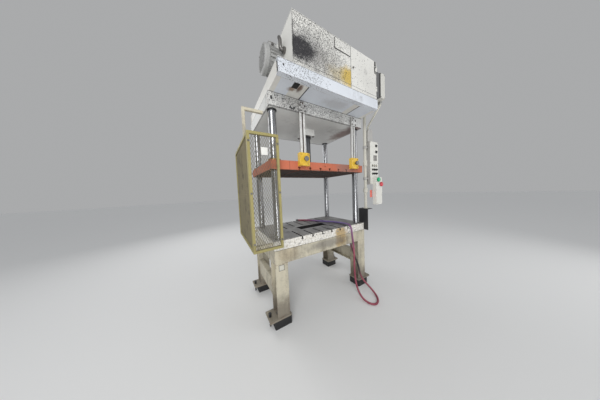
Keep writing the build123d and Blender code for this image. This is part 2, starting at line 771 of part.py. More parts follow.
def channel_along_x(y_web, sy):
    """Channel with its web at y_web and its flanges towards the middle."""
    y_tip = y_web - sy * CHANNEL_FLANGE_W
    outer = block(-PLATFORM_X, PLATFORM_X, y_web, y_tip, PLATFORM_BOTTOM, PLATFORM_TOP)
    pocket = block(-PLATFORM_X - 1, PLATFORM_X + 1, y_web - sy * CHANNEL_T, y_tip - sy,
                   PLATFORM_BOTTOM + CHANNEL_T, PLATFORM_TOP - CHANNEL_T)
    return outer - pocket


def end_channel(sx):
    """Channel along Y at one end of the platform."""
    x_web = sx * PLATFORM_X
    x_tip = x_web - sx * CHANNEL_FLANGE_W
    outer = block(x_web, x_tip, MEMBER_FRONT, MEMBER_REAR, PLATFORM_BOTTOM, PLATFORM_TOP)
    pocket = block(x_web - sx * CHANNEL_T, x_tip - sx, MEMBER_FRONT - 1, MEMBER_REAR + 1,
                   PLATFORM_BOTTOM + CHANNEL_T, PLATFORM_TOP - CHANNEL_T)
    return outer - pocket


def bearer(x):
    """Box tube along Y that carries the overhang."""
    half = BEARER_W / 2
    outer = block(x - half, x + half, MEMBER_FRONT, MEMBER_REAR, PLATFORM_BOTTOM, PLATFORM_TOP)
    bore = block(x - half + BEARER_WALL, x + half - BEARER_WALL, MEMBER_FRONT - 1, MEMBER_REAR + 1,
                 PLATFORM_BOTTOM + BEARER_WALL, PLATFORM_TOP - BEARER_WALL)
    return outer - bore


def soffit(x0, x1):
    """Sheet panel closing the underside of the overhang."""
    return block(x0, x1, MEMBER_FRONT, -BED_Y - FIT_GAP, PLATFORM_BOTTOM,
                 PLATFORM_BOTTOM + SOFFIT_T)


nodes["platform_front_channel"] = channel_along_x(PLATFORM_FRONT, -1)
nodes["platform_members"] = group(
    [channel_along_x(PLATFORM_REAR, 1), end_channel(-1), end_channel(1),
     bearer(BEARER_LEFT_X), bearer(BEARER_RIGHT_X)])
nodes["platform_soffits"] = group([
    soffit(-PLATFORM_X + CHANNEL_FLANGE_W, BEARER_LEFT_X - BEARER_W / 2 - SOFFIT_SLOT_W),
    soffit(BEARER_LEFT_X + BEARER_W / 2 + SOFFIT_GAP, BEARER_RIGHT_X - BEARER_W / 2),
    soffit(BEARER_RIGHT_X + BEARER_W / 2 + SOFFIT_GAP, PLATFORM_X - CHANNEL_FLANGE_W)])
deck = block(-PLATFORM_X, PLATFORM_X, PLATFORM_FRONT, PLATFORM_REAR, PLATFORM_TOP, DECK_TOP)
nodes["platform_deck"] = deck - bar_z(0, 0, PLATFORM_TOP - 1, DECK_TOP + 1,
                                      BARREL_D + 2 * BARREL_HOLE_GAP)


def skids(x0, x1, depth):
    """Two bars along X that lift a box off the deck."""
    front = block(x0, x1, TANK_FRONT, TANK_FRONT + SKID_W, DECK_TOP, TANK_BOTTOM)
    rear_edge = TANK_FRONT + depth
    rear = block(x0, x1, rear_edge - SKID_W, rear_edge, DECK_TOP, TANK_BOTTOM)
    return front, rear


# Oil tank: open sheet box, lid, filler cap
def tank_body():
    shell = block(TANK_LEFT, TANK_RIGHT, TANK_FRONT, TANK_REAR, TANK_BOTTOM, TANK_TOP)
    shell -= block(TANK_LEFT + TANK_WALL, TANK_RIGHT - TANK_WALL,
                   TANK_FRONT + TANK_WALL, TANK_REAR - TANK_WALL,
                   TANK_BOTTOM + TANK_WALL, TANK_TOP + 1)
    for skid in skids(TANK_LEFT, TANK_RIGHT, TANK_D):
        shell += skid
    return shell - bar_x(TANK_LEFT - 1, TANK_LEFT + TANK_WALL + 1, MOTOR_Y, MOTOR_Z,
                         SHAFT_D + 2 * SHAFT_HOLE_GAP)


FILLER_X = (TANK_LEFT + TANK_RIGHT) / 2
FILLER_Y = TANK_REAR - FILLER_INSET
FILLER_HOLE_D = FILLER_D - 2 * FILLER_WALL
lid = block(TANK_LEFT, TANK_RIGHT, TANK_FRONT, TANK_REAR, TANK_TOP, TANK_TOP + LID_T)
nodes["tank_body"] = tank_body()
nodes["tank_lid"] = lid - bar_z(FILLER_X, FILLER_Y, TANK_TOP - 1, TANK_TOP + LID_T + 1, FILLER_HOLE_D)


def filler_cap():
    base = TANK_TOP + LID_T
    neck = bar_z(FILLER_X, FILLER_Y, TANK_TOP - FILLER_NECK_H, base + FILLER_NECK_H,
                 FILLER_HOLE_D - 2 * FIT_GAP)
    cap = bar_z(FILLER_X, FILLER_Y, base, base + FILLER_H, FILLER_D)
    return neck + fillet(cap.edges().sort_by(Axis.Z)[-1], FILLER_ROUND)


nodes["filler_cap"] = filler_cap()


# Electrical cabinet beside the tank, with a front door
CABINET_LEFT = TANK_RIGHT + CABINET_GAP
CABINET_FRONT = TANK_FRONT + DOOR_T + FIT_GAP
CABINET_REAR = TANK_FRONT + CABINET_D
CABINET_TOP = TANK_TOP + LID_T
HINGE_X = CABINET_RIGHT - HINGE_D / 2
HINGE_Y = TANK_FRONT - HINGE_D / 2
HINGE_ZS = (TANK_BOTTOM + HINGE_INSET, CABINET_TOP - HINGE_INSET)


def cabinet_body():
    shell = block(CABINET_LEFT, CABINET_RIGHT, CABINET_FRONT, CABINET_REAR, TANK_BOTTOM, CABINET_TOP)
    shell -= block(CABINET_LEFT + CABINET_WALL, CABINET_RIGHT - CABINET_WALL,
                   CABINET_FRONT - 1, CABINET_REAR - CABINET_WALL,
                   TANK_BOTTOM + CABINET_WALL, CABINET_TOP - CABINET_WALL)
    for skid in skids(CABINET_LEFT, CABINET_RIGHT, CABINET_D):
        shell += skid
    return shell


def cabinet_door():
    door = block(CABINET_LEFT, CABINET_RIGHT - HINGE_D, TANK_FRONT, TANK_FRONT + DOOR_T,
                 TANK_BOTTOM + DOOR_GAP, CABINET_TOP - DOOR_GAP)
    for z in HINGE_ZS:
        z0 = z - HINGE_LENGTH / 2
        z1 = z + HINGE_LENGTH / 2
        leaf = block(HINGE_X - HINGE_LEAF_W, HINGE_X, TANK_FRONT - HINGE_LEAF_T, TANK_FRONT, z0, z1)
        door += leaf + bar_z(HINGE_X, HINGE_Y, z0, z1, HINGE_D)
    latch_z = (TANK_BOTTOM + CABINET_TOP) / 2
    return door + bar_y(CABINET_LEFT + LATCH_INSET, TANK_FRONT - LATCH_H, TANK_FRONT, latch_z, LATCH_D)


def cabinet_backplate():
    rear = CABINET_REAR - CABINET_WALL
    face = rear - BACKPLATE_T
    plate = block(CABINET_LEFT + BACKPLATE_INSET, CABINET_RIGHT - BACKPLATE_INSET, face, rear,
                  TANK_BOTTOM + BACKPLATE_INSET, CABINET_TOP - BACKPLATE_INSET)
    half = CONTACTOR_W / 2
    contactor_bottom = TANK_BOTTOM + CONTACTOR_RISE
    for i in range(CONTACTOR_COUNT):
        x = CABINET_LEFT + CONTACTOR_FIRST + i * CONTACTOR_PITCH
        plate += block(x - half, x + half, face - CONTACTOR_D, face,
                       contactor_bottom, contactor_bottom + CONTACTOR_H)
    terminal_bottom = TANK_BOTTOM + TERMINAL_RISE
    return plate + block(CABINET_LEFT + TERMINAL_INSET, CABINET_RIGHT - TERMINAL_INSET,
                         face - TERMINAL_D, face, terminal_bottom, terminal_bottom + TERMINAL_H)


nodes["cabinet_body"] = cabinet_body()
nodes["cabinet_door"] = cabinet_door()
nodes["cabinet_backplate"] = cabinet_backplate()


# Junction box on the right end of the cabinet
def junction_box():
    front = TANK_FRONT + JUNCTION_SETBACK
    top = JUNCTION_BOTTOM + JUNCTION_H
    right = JUNCTION_RIGHT
    middle = (CABINET_RIGHT + right) / 2
    box = block(CABINET_RIGHT, right, front, front + JUNCTION_D, JUNCTION_BOTTOM, top)
    box -= block(CABINET_RIGHT + SHEET_T, right - SHEET_T, front + SHEET_T,
                 front + JUNCTION_D - SHEET_T, JUNCTION_BOTTOM + SHEET_T, top - SHEET_T)
    box -= block(middle + SHEET_T, right - SHEET_T, front - 1, front + SHEET_T + 1,
                 JUNCTION_BOTTOM + SHEET_T, top - SHEET_T)
    cover = block(middle, right, front - JUNCTION_COVER_T, front, JUNCTION_BOTTOM, top)
    cover -= block(middle + SHEET_T, right - SHEET_T, front - JUNCTION_COVER_T + SHEET_T, front + 1,
                   JUNCTION_BOTTOM + SHEET_T, top - SHEET_T)
    return group([box, cover])


nodes["junction_box"] = junction_box()


# Pump motor: finned frame flanged to the tank, rotor, fan and cowl, pump inside the tank
MOTOR_FRONT_X = TANK_LEFT - MOTOR_FLANGE_T
MOTOR_REAR_X = MOTOR_FRONT_X - MOTOR_LENGTH
COWL_END_X = MOTOR_REAR_X - COWL_LENGTH
FAN_X = MOTOR_REAR_X - COWL_LENGTH / 2


def motor_frame():
    frame = bar_x(MOTOR_REAR_X, MOTOR_FRONT_X, MOTOR_Y, MOTOR_Z, MOTOR_D)
    fin_reach = MOTOR_D / 2 + MOTOR_FIN_H
    fin_centre = (MOTOR_FRONT_X + MOTOR_REAR_X) / 2
    fin_root = 2 * MOTOR_FIN_ROOT
    for i in range(MOTOR_FIN_COUNT):
        fin = Pos(fin_centre, 0, (fin_reach + fin_root) / 2) * Box(
            MOTOR_LENGTH - 2 * MOTOR_FIN_INSET, MOTOR_FIN_T, fin_reach - fin_root)
        frame += Pos(0, MOTOR_Y, MOTOR_Z) * Rot(360 * (i + 0.5) / MOTOR_FIN_COUNT, 0, 0) * fin
    frame += bar_x(MOTOR_FRONT_X, TANK_LEFT, MOTOR_Y, MOTOR_Z, MOTOR_FLANGE_D)
    frame -= bar_x(MOTOR_REAR_X + MOTOR_END_WALL, MOTOR_FRONT_X - MOTOR_END_WALL, MOTOR_Y, MOTOR_Z,
                   MOTOR_BORE_D)
    return frame - bar_x(MOTOR_REAR_X - 1, TANK_LEFT + 1, MOTOR_Y, MOTOR_Z, SHAFT_D + 2 * RUNNING_GAP)


def fan_cowl():
    outer = bar_x(COWL_END_X, MOTOR_REAR_X, MOTOR_Y, MOTOR_Z, COWL_D)
    outer = fillet(outer.edges().filter_by(GeomType.CIRCLE).sort_by(Axis.X)[0], COWL_ROUND)
    inner_d = COWL_D - 2 * COWL_WALL
    cowl = outer - bar_x(COWL_END_X + COWL_WALL, MOTOR_REAR_X + 1, MOTOR_Y, MOTOR_Z,
                         inner_d - 2 * COWL_ROUND)
    cowl -= bar_x(COWL_END_X + COWL_ROUND, MOTOR_REAR_X + 1, MOTOR_Y, MOTOR_Z, inner_d)
    for i in range(COWL_SLOTS):
        height = COWL_SLOT_PITCH * (i - (COWL_SLOTS - 1) / 2)
        half = math.sqrt((COWL_D / 2 - 2 * COWL_ROUND) ** 2 - height ** 2)
        cowl -= block(COWL_END_X - 1, COWL_END_X + COWL_WALL + 1, MOTOR_Y - half, MOTOR_Y + half,
                      MOTOR_Z + height - COWL_SLOT_H / 2, MOTOR_Z + height + COWL_SLOT_H / 2)
    ring = bar_x(MOTOR_REAR_X - COWL_WALL, MOTOR_REAR_X, MOTOR_Y, MOTOR_Z, COWL_D - COWL_WALL)
    hole = bar_x(MOTOR_REAR_X - COWL_WALL - 1, MOTOR_REAR_X + 1, MOTOR_Y, MOTOR_Z,
                 FAN_D + 2 * COWL_RING_GAP)
    return cowl + (ring - hole)


def motor_rotor():
    shaft_end = TANK_LEFT + TANK_WALL + PUMP_BELL_L - SHAFT_BELL_GAP
    shaft = bar_x(FAN_X - FAN_HUB_L / 2, shaft_end, MOTOR_Y, MOTOR_Z, SHAFT_D)
    core = bar_x(MOTOR_REAR_X + ROTOR_INSET, MOTOR_FRONT_X - ROTOR_INSET, MOTOR_Y, MOTOR_Z, ROTOR_D)
    return shaft + core


def motor_stator():
    ring = bar_x(MOTOR_REAR_X + STATOR_INSET, MOTOR_FRONT_X - STATOR_INSET, MOTOR_Y, MOTOR_Z,
                 MOTOR_BORE_D)
    return ring - bar_x(MOTOR_REAR_X, MOTOR_FRONT_X, MOTOR_Y, MOTOR_Z, ROTOR_D + 2 * STATOR_GAP)


def motor_fan():
    half = FAN_HUB_L / 2
    fan = bar_x(FAN_X - half, FAN_X + half, MOTOR_Y, MOTOR_Z, FAN_HUB_D)
    for i in range(FAN_BLADES):
        blade = Pos(FAN_X, 0, (FAN_D / 2 + FAN_BLADE_ROOT) / 2) * Box(
            FAN_BLADE_W, FAN_BLADE_T, FAN_D / 2 - FAN_BLADE_ROOT)
        fan += Pos(0, MOTOR_Y, MOTOR_Z) * Rot(360 * i / FAN_BLADES, 0, 0) * blade
    return fan - bar_x(FAN_X - half - 1, FAN_X + half + 1, MOTOR_Y, MOTOR_Z, SHAFT_D + 2 * FIT_GAP)


def pump_body():
    start = TANK_LEFT + TANK_WALL
    joint = start + PUMP_BELL_L
    bell = bar_x(start, joint, MOTOR_Y, MOTOR_Z, PUMP_D)
    bell -= bar_x(start - 1, joint, MOTOR_Y, MOTOR_Z, PUMP_D - 2 * PUMP_BELL_WALL)
    pump = bar_x(joint, joint + PUMP_LENGTH, MOTOR_Y, MOTOR_Z, PUMP_D + 2 * PUMP_STEP)
    suction = bar_z(joint + PUMP_LENGTH / 2, MOTOR_Y, TANK_BOTTOM + SUCTION_GAP, MOTOR_Z, SUCTION_D)
    return bell + pump + suction


nodes["motor_frame"] = motor_frame()
nodes["fan_cowl"] = fan_cowl()
nodes["motor_rotor"] = motor_rotor()
nodes["motor_stator"] = motor_stator()
nodes["motor_fan"] = motor_fan()
nodes["pump_body"] = pump_body()


# Valve manifold on the deck behind the tank
def valve_manifold():
    top = DECK_TOP + MANIFOLD_H
    base = block(MANIFOLD_X - MANIFOLD_W / 2, MANIFOLD_X + MANIFOLD_W / 2,
                 MANIFOLD_Y - MANIFOLD_D / 2, MANIFOLD_Y + MANIFOLD_D / 2, DECK_TOP, top)
    for side in SIDES:
        x = MANIFOLD_X + side * MANIFOLD_W / 4
        base += block(x - VALVE_W / 2, x + VALVE_W / 2,
                      MANIFOLD_Y - VALVE_D / 2, MANIFOLD_Y + VALVE_D / 2, top, top + VALVE_H)
        half = VALVE_D / 2 + SOLENOID_LENGTH
        base += bar_y(x, MANIFOLD_Y - half, MANIFOLD_Y + half, top + VALVE_H / 2, SOLENOID_D)
    return base


nodes["valve_manifold"] = valve_manifold()


# Guard: two bolted panels of square tube and diamond mesh around the front-left corner
def mesh_cutters(width, height):
    """Diamonds of an expanded mesh, clipped to the inside of a panel."""
    field = Rectangle(width - 2 * MESH_STRAND, height - 2 * MESH_STRAND)
    half_w = (MESH_PITCH_W - MESH_STRAND) / 2
    half_h = (MESH_PITCH_H - MESH_STRAND) / 2
    diamond = make_face(Polyline((-half_w, 0), (0, -half_h), (half_w, 0), (0, half_h), (-half_w, 0)))
    columns = int(width / MESH_PITCH_W) + 1
    rows = int(height / MESH_PITCH_H) + 1
    faces = []
    for row in range(-rows, rows + 1):
        for column in range(-columns, columns + 1):
            x = MESH_PITCH_W * (column + (row % 2) / 2)
            y = MESH_PITCH_H * row / 2
            if abs(x) > width / 2 or abs(y) > height / 2:
                continue
            piece = (Pos(x, y) * diamond) & field
            if piece is not None and piece.area > 0.3 * diamond.area:
                faces.append(piece)
    return faces


def mesh_panel(width, height):
    """Flat mesh sheet in the XY plane, centred."""
    sheet = Rectangle(width, height)
    for piece in mesh_cutters(width, height):
        sheet -= piece
    return extrude(sheet, MESH_T / 2, both=True)


GUARD_MID_Z = (GUARD_BOTTOM + GUARD_TOP) / 2
GUARD_H = GUARD_TOP - GUARD_BOTTOM
FRONT_PANEL_W = GUARD_RIGHT - GUARD_LEFT
SIDE_PANEL_FRONT = GUARD_FRONT + GUARD_BAR
SIDE_PANEL_W = GUARD_REAR - SIDE_PANEL_FRONT
MESH_H = GUARD_H - 2 * GUARD_BAR

front_frame = block(GUARD_LEFT, GUARD_RIGHT, GUARD_FRONT, GUARD_FRONT + GUARD_BAR,
                    GUARD_BOTTOM, GUARD_TOP)
front_frame -= block(GUARD_LEFT + GUARD_BAR, GUARD_RIGHT - GUARD_BAR, GUARD_FRONT - 1, SIDE_PANEL_FRONT + 1,
                     GUARD_BOTTOM + GUARD_BAR, GUARD_TOP - GUARD_BAR)
nodes["guard_front_frame"] = front_frame
side_frame = block(GUARD_LEFT, GUARD_LEFT + GUARD_BAR, SIDE_PANEL_FRONT, GUARD_REAR,
                   GUARD_BOTTOM, GUARD_TOP)
side_frame -= block(GUARD_LEFT - 1, GUARD_LEFT + GUARD_BAR + 1, SIDE_PANEL_FRONT + GUARD_BAR,
                    GUARD_REAR - GUARD_BAR, GUARD_BOTTOM + GUARD_BAR, GUARD_TOP - GUARD_BAR)
nodes["guard_side_frame"] = side_frame
nodes["guard_front_mesh"] = Pos(
    (GUARD_LEFT + GUARD_RIGHT) / 2, GUARD_FRONT + GUARD_BAR / 2, GUARD_MID_Z) * (
    Rot(90, 0, 0) * mesh_panel(FRONT_PANEL_W - 2 * GUARD_BAR, MESH_H))
nodes["guard_side_mesh"] = Pos(
    GUARD_LEFT + GUARD_BAR / 2, (SIDE_PANEL_FRONT + GUARD_REAR) / 2, GUARD_MID_Z) * (
    Rot(0, 0, 90) * Rot(90, 0, 0) * mesh_panel(SIDE_PANEL_W - 2 * GUARD_BAR, MESH_H))


def guard_brackets():
    """Arms from the bolster to the lower rail, and the post hung from the crown."""
    inner = GUARD_LEFT + GUARD_BAR
    pieces = []
    for y in (-BED_Y + GUARD_ARM_FRONT_INSET, GUARD_REAR - GUARD_ARM_REAR_INSET):
        pieces.append(block(inner, -BED_X, y - GUARD_ARM / 2, y + GUARD_ARM / 2,
                            GUARD_BOTTOM, GUARD_BOTTOM + GUARD_BAR))
    y0 = GUARD_POST_Y - GUARD_ARM / 2
    y1 = GUARD_POST_Y + GUARD_ARM / 2
    arm_bottom = CROWN_BOTTOM + GUARD_POST_RISE
    post = block(inner, inner + GUARD_ARM, y0, y1, GUARD_POST_BOTTOM, arm_bottom + GUARD_ARM)
    arm = block(inner + GUARD_ARM, -CROWN_X, y0, y1, arm_bottom, arm_bottom + GUARD_ARM)
    pieces.append(post + arm)
    return group(pieces)


nodes["guard_brackets"] = guard_brackets()


# Operator station: conduit pole from the bed bracket up to the junction box, with the control box
STATION_RIGHT = STATION_LEFT + STATION_W
STATION_FRONT = POLE_Y - STATION_FRONT_GAP
STATION_REAR = STATION_FRONT + STATION_D
STATION_TOP = STATION_BOTTOM + STATION_H
HUB_X = STATION_LEFT - HUB_OVERHANG + HUB_W / 2
HUB_Y = STATION_FRONT + STATION_D / 2
BUTTON_BOX_RIGHT = STATION_RIGHT + BUTTON_BOX_OVERHANG
BUTTON_BOX_LEFT = BUTTON_BOX_RIGHT - BUTTON_BOX_W
BUTTON_BOX_TOP = BUTTON_BOX_BOTTOM + BUTTON_BOX_H
BUTTON_FACE = STATION_FRONT - BUTTON_BOX_D
START_X = BUTTON_BOX_LEFT + BUTTON_INSET
STOP_X = BUTTON_BOX_RIGHT - BUTTON_INSET


def conduit_pole():
    """Pole with its couplings, and the slanted branch from the junction box to the hub."""
    foot = SHELF_Z + SHELF_T
    pole = bar_z(POLE_X, POLE_Y, foot, JUNCTION_BOTTOM, POLE_D)
    pole += bar_z(POLE_X, POLE_Y, POLE_UNION_Z, POLE_UNION_Z + POLE_UNION_H, POLE_UNION_D)
    pole += bar_z(POLE_X, POLE_Y, POLE_KNOT_Z, POLE_KNOT_Z + POLE_KNOT_H, POLE_KNOT_D)
    pole += bar_z(POLE_X, POLE_Y, foot, foot + POLE_BASE_T, POLE_BASE_D)
    pole -= bar_z(POLE_X, POLE_Y, foot - 1, JUNCTION_BOTTOM + 1, POLE_D - 2 * POLE_WALL)
    hub_top = STATION_TOP + HUB_H
    route = FilletPolyline(
        (HUB_X, BRANCH_TOP_Y, JUNCTION_BOTTOM), (HUB_X, BRANCH_TOP_Y, JUNCTION_BOTTOM - BRANCH_STUB),
        (HUB_X, HUB_Y, hub_top + BRANCH_STUB), (HUB_X, HUB_Y, hub_top), radius=BRANCH_D)
    section = Plane(origin=route @ 0, z_dir=route % 0) * Circle(BRANCH_D / 2)
    return group([pole, sweep(section, route)])


def conduit_bracket():
    y0 = POLE_Y - SHELF_W / 2
    y1 = POLE_Y + SHELF_W / 2
    plate = block(BED_X, BED_X + SHELF_T, y0, y1, BOLSTER_BOTTOM, SHELF_Z)
    shelf = block(BED_X, POLE_X + SHELF_OVERHANG, y0, y1, SHELF_Z, SHELF_Z + SHELF_T)
    gusset = extrude(Plane.XZ * make_face(Polyline(
        (BED_X + SHELF_T, SHELF_Z), (POLE_X + SHELF_OVERHANG - GUSSET_INSET, SHELF_Z),
        (BED_X + SHELF_T, SHELF_Z - GUSSET_H), (BED_X + SHELF_T, SHELF_Z))), SHELF_T / 2, both=True)
    return plate + shelf + Pos(0, POLE_Y, 0) * gusset


def control_box():
    """Sheet box with a rounded hub on top, a front cover and two clamps on the pole."""
    box = block(STATION_LEFT, STATION_RIGHT, STATION_FRONT + SHEET_T, STATION_REAR,
                STATION_BOTTOM, STATION_TOP)
    box = fillet(box.edges().filter_by(Axis.Z).sort_by(Axis.Y)[-2:], BOX_ROUND)
    hub = block(HUB_X - HUB_W / 2, HUB_X + HUB_W / 2, HUB_Y - HUB_D / 2, HUB_Y + HUB_D / 2,
                STATION_TOP, STATION_TOP + HUB_H)
    box += fillet(hub.edges().filter_by(Axis.Y).sort_by(Axis.Z)[-2:], HUB_ROUND)
    for z in (STATION_BOTTOM + CLAMP_INSET, STATION_TOP - CLAMP_INSET):
        arm = block(POLE_X, STATION_LEFT + SHEET_T, POLE_Y - CLAMP_ARM / 2, POLE_Y + CLAMP_ARM / 2,
                    z - CLAMP_H / 2, z + CLAMP_H / 2)
        clamp = bar_z(POLE_X, POLE_Y, z - CLAMP_H / 2, z + CLAMP_H / 2, POLE_D + 2 * CLAMP_WALL)
        box += (arm + clamp) - bar_z(POLE_X, POLE_Y, z - CLAMP_H, z + CLAMP_H, POLE_D + 2 * FIT_GAP)
    box -= block(STATION_LEFT + SHEET_T, STATION_RIGHT - SHEET_T, STATION_FRONT, STATION_REAR - SHEET_T,
                 STATION_BOTTOM + SHEET_T, STATION_TOP - SHEET_T)
    box -= bar_z(HUB_X + HUB_OVERHANG, HUB_Y, STATION_TOP - SHEET_T - 1, STATION_TOP + HUB_H - HUB_ROUND,
                 HUB_D - 4 * SHEET_T)
    cover = block(STATION_LEFT, STATION_RIGHT, STATION_FRONT, STATION_FRONT + SHEET_T,
                  STATION_BOTTOM, STATION_TOP)
    return group([box, cover])


def button_box():
    box = block(BUTTON_BOX_LEFT, BUTTON_BOX_RIGHT, BUTTON_FACE, STATION_FRONT,
                BUTTON_BOX_BOTTOM, BUTTON_BOX_TOP)
    box = fillet(box.edges().filter_by(Axis.Z).sort_by(Axis.Y)[:2], BOX_ROUND)
    box -= block(BUTTON_BOX_LEFT + SHEET_T, BUTTON_BOX_RIGHT - SHEET_T, BUTTON_FACE + SHEET_T,
                 STATION_FRONT - SHEET_T, BUTTON_BOX_BOTTOM + SHEET_T, BUTTON_BOX_TOP - SHEET_T)
    for x, z in ((START_X, START_Z), (STOP_X, STOP_Z)):
        box -= bar_y(x, BUTTON_FACE - 1, BUTTON_FACE + SHEET_T + 1, z, STEM_HOLE_D)
    return box


def palm_button(x, z):
    """Mushroom button whose stem runs into the box."""
    back = BUTTON_FACE - BUTTON_TRAVEL - PALM_GAP
    stem = bar_y(x, back, BUTTON_FACE + PALM_T, z, STEM_D)
    cap = bar_y(x, back - PALM_T, back, z, PALM_D)
    return stem + fillet(cap.edges().filter_by(GeomType.CIRCLE).sort_by(Axis.Y)[0], PALM_ROUND)


nodes["conduit_pole"] = conduit_pole()
nodes["conduit_bracket"] = conduit_bracket()
nodes["control_box"] = control_box()
nodes["button_box"] = button_box()
nodes["start_button"] = palm_button(START_X, START_Z)
nodes["stop_button"] = palm_button(STOP_X, STOP_Z)


# Hydraulic hose that lies across the bed and hangs to the floor; its route is hand set
HOSE_POINTS = [
    (20, 395, 980), (110, 340, 979), (190, 210, 979), (280, 60, 979), (375, -80, 979),
    (432, -210, 979), (430, -330, 982), (412, -420, 992), (402, -474, 950), (404, -482, 855),
    (424, -484, 720), (432, -490, 560), (416, -500, 400), (402, -520, 250), (400, -550, 120),
    (400, -600, 40), (385, -680, 15), (395, -765, 14), (450, -806, 14), (525, -785, 14),
    (590, -725, 14), (628, -650, 22), (618, -585, 70), (575, -530, 140), (545, -490, 230),
    (552, -462, 340), (535, -425, 450), (520, -385, 560), (515, -355, 650)]


def hose_corner(x, y, z):
    """A corner of the route, kept in its place beside the bed when the bed's size changes."""
    along = BED_X - HOSE_BED_X
    out = BED_Y - HOSE_BED_Y
    up = (BED_TOP - HOSE_BED_TOP) * min(1, max(0, (z - HOSE_LOW_Z) / (HOSE_HIGH_Z - HOSE_LOW_Z)))
    return Vector(x + along, y - out, z + up)


HOSE_CORNERS = [hose_corner(*p) for p in HOSE_POINTS]


def hose_path(corners):
    """Straight runs joined by tangent arcs as large as the runs allow."""
    radii = []
    for a, b, c in zip(corners, corners[1:], corners[2:]):
        turn = (b - a).get_angle(c - b)
        shorter = min((b - a).length, (c - b).length)
        radii.append(0.45 * shorter / math.tan(math.radians(turn) / 2))
    print("hose radii", [round(r) for r in radii])
    return FilletPolyline(*corners, radius=radii)


def hose():
    path = hose_path(HOSE_CORNERS)
    section = Plane(origin=path @ 0, z_dir=path % 0) * Circle(HOSE_D / 2)
    tube = sweep(section, path)
    print("hose length", round(path.length), "volume ratio",
          round(tube.volume / (path.length * math.pi * HOSE_D ** 2 / 4), 4))
    return tube


def hose_fittings():
    """Bulkhead fittings at both ends of the hose."""
    start = HOSE_CORNERS[0]
    along = (start - HOSE_CORNERS[1]).normalized()
    upper = Plane(origin=start, z_dir=along) * extrude(Circle(FERRULE_D / 2), FERRULE_LENGTH)
    clip = block(start.X - FERRULE_LENGTH, start.X - FERRULE_D / 3, start.Y - FERRULE_D / 3,
                 start.Y + FERRULE_LENGTH, BED_TOP, start.Z + FERRULE_D / 3)
    low = HOSE_CORNERS[-1]
    up = (low - HOSE_CORNERS[-2]).normalized()
    lower = Plane(origin=low, z_dir=up) * extrude(Circle(FERRULE_D / 2), LOWER_FERRULE_LENGTH)
    stub = bar_z(low.X, low.Y + STUB_OFFSET, low.Z + FERRULE_D, BOLSTER_BOTTOM, FERRULE_D)
    return group([upper + clip, lower + stub])


nodes["floor_hose"] = hose()
nodes["hose_fittings"] = hose_fittings()


for name, shape in nodes.items():
    export_step(shape, f"parts/{name}.step")
print(len(nodes), "nodes")
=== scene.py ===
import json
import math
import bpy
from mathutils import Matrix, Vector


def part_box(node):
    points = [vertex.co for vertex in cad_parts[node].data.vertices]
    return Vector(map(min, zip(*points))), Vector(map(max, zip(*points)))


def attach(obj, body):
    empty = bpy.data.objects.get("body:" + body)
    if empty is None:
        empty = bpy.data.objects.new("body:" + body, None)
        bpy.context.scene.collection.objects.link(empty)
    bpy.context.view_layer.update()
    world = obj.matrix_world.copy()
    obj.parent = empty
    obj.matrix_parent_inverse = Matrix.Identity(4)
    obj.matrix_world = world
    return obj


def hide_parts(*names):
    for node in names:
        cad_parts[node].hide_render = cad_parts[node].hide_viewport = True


bl_info = {
    "name": "Trim Press Dressing",
    "version": (1, 0, 0),
    "blender": (4, 5, 0),
    "location": "View3D > Sidebar > Trim Press",
    "description": "Finishes and fine pieces for a die casting trim press",
    "category": "Object",
}

from itertools import product

import bmesh
import bpy
from bpy.props import FloatProperty, FloatVectorProperty, IntProperty, PointerProperty
from mathutils import Matrix, Vector

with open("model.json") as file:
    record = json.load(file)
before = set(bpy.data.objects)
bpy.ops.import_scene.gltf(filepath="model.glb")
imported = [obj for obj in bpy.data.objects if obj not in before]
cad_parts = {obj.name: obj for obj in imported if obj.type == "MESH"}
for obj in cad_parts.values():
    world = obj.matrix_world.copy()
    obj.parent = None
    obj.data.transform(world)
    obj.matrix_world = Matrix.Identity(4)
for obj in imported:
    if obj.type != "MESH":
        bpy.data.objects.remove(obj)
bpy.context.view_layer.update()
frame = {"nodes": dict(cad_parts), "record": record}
NODES = frame["nodes"]

FRAME_BODY = "frame"
PLATEN_BODY = "platen_body"
CABINET_DOOR_BODY = "cabinet_door"
SHARP_ANGLE = math.radians(32)

# Places on the press, in metres
COLUMNS = [(sx * 0.649, sy * 0.345) for sx in (-1, 1) for sy in (-1, 1)]
LOCK_XS = (-0.330, 0.505)
LOCK_FLAT_BOTTOM = 1.905
BED_TOP = 0.965
BED_HALF = (0.733, 0.432)
FOOT_PLATE_TOP = 0.110
LEG_SIZE = (0.148, 0.155)
ANCHOR_INSET = (0.035, 0.0775)
ANCHOR_FLATS = 0.030
BEAM_PLATE = 0.020
MANIFOLD_DEPTH = 0.140
PANEL_WIDTH = 0.200
HUB_RISE = 0.190


# ---- Settings -------------------------------------------------------------------------------

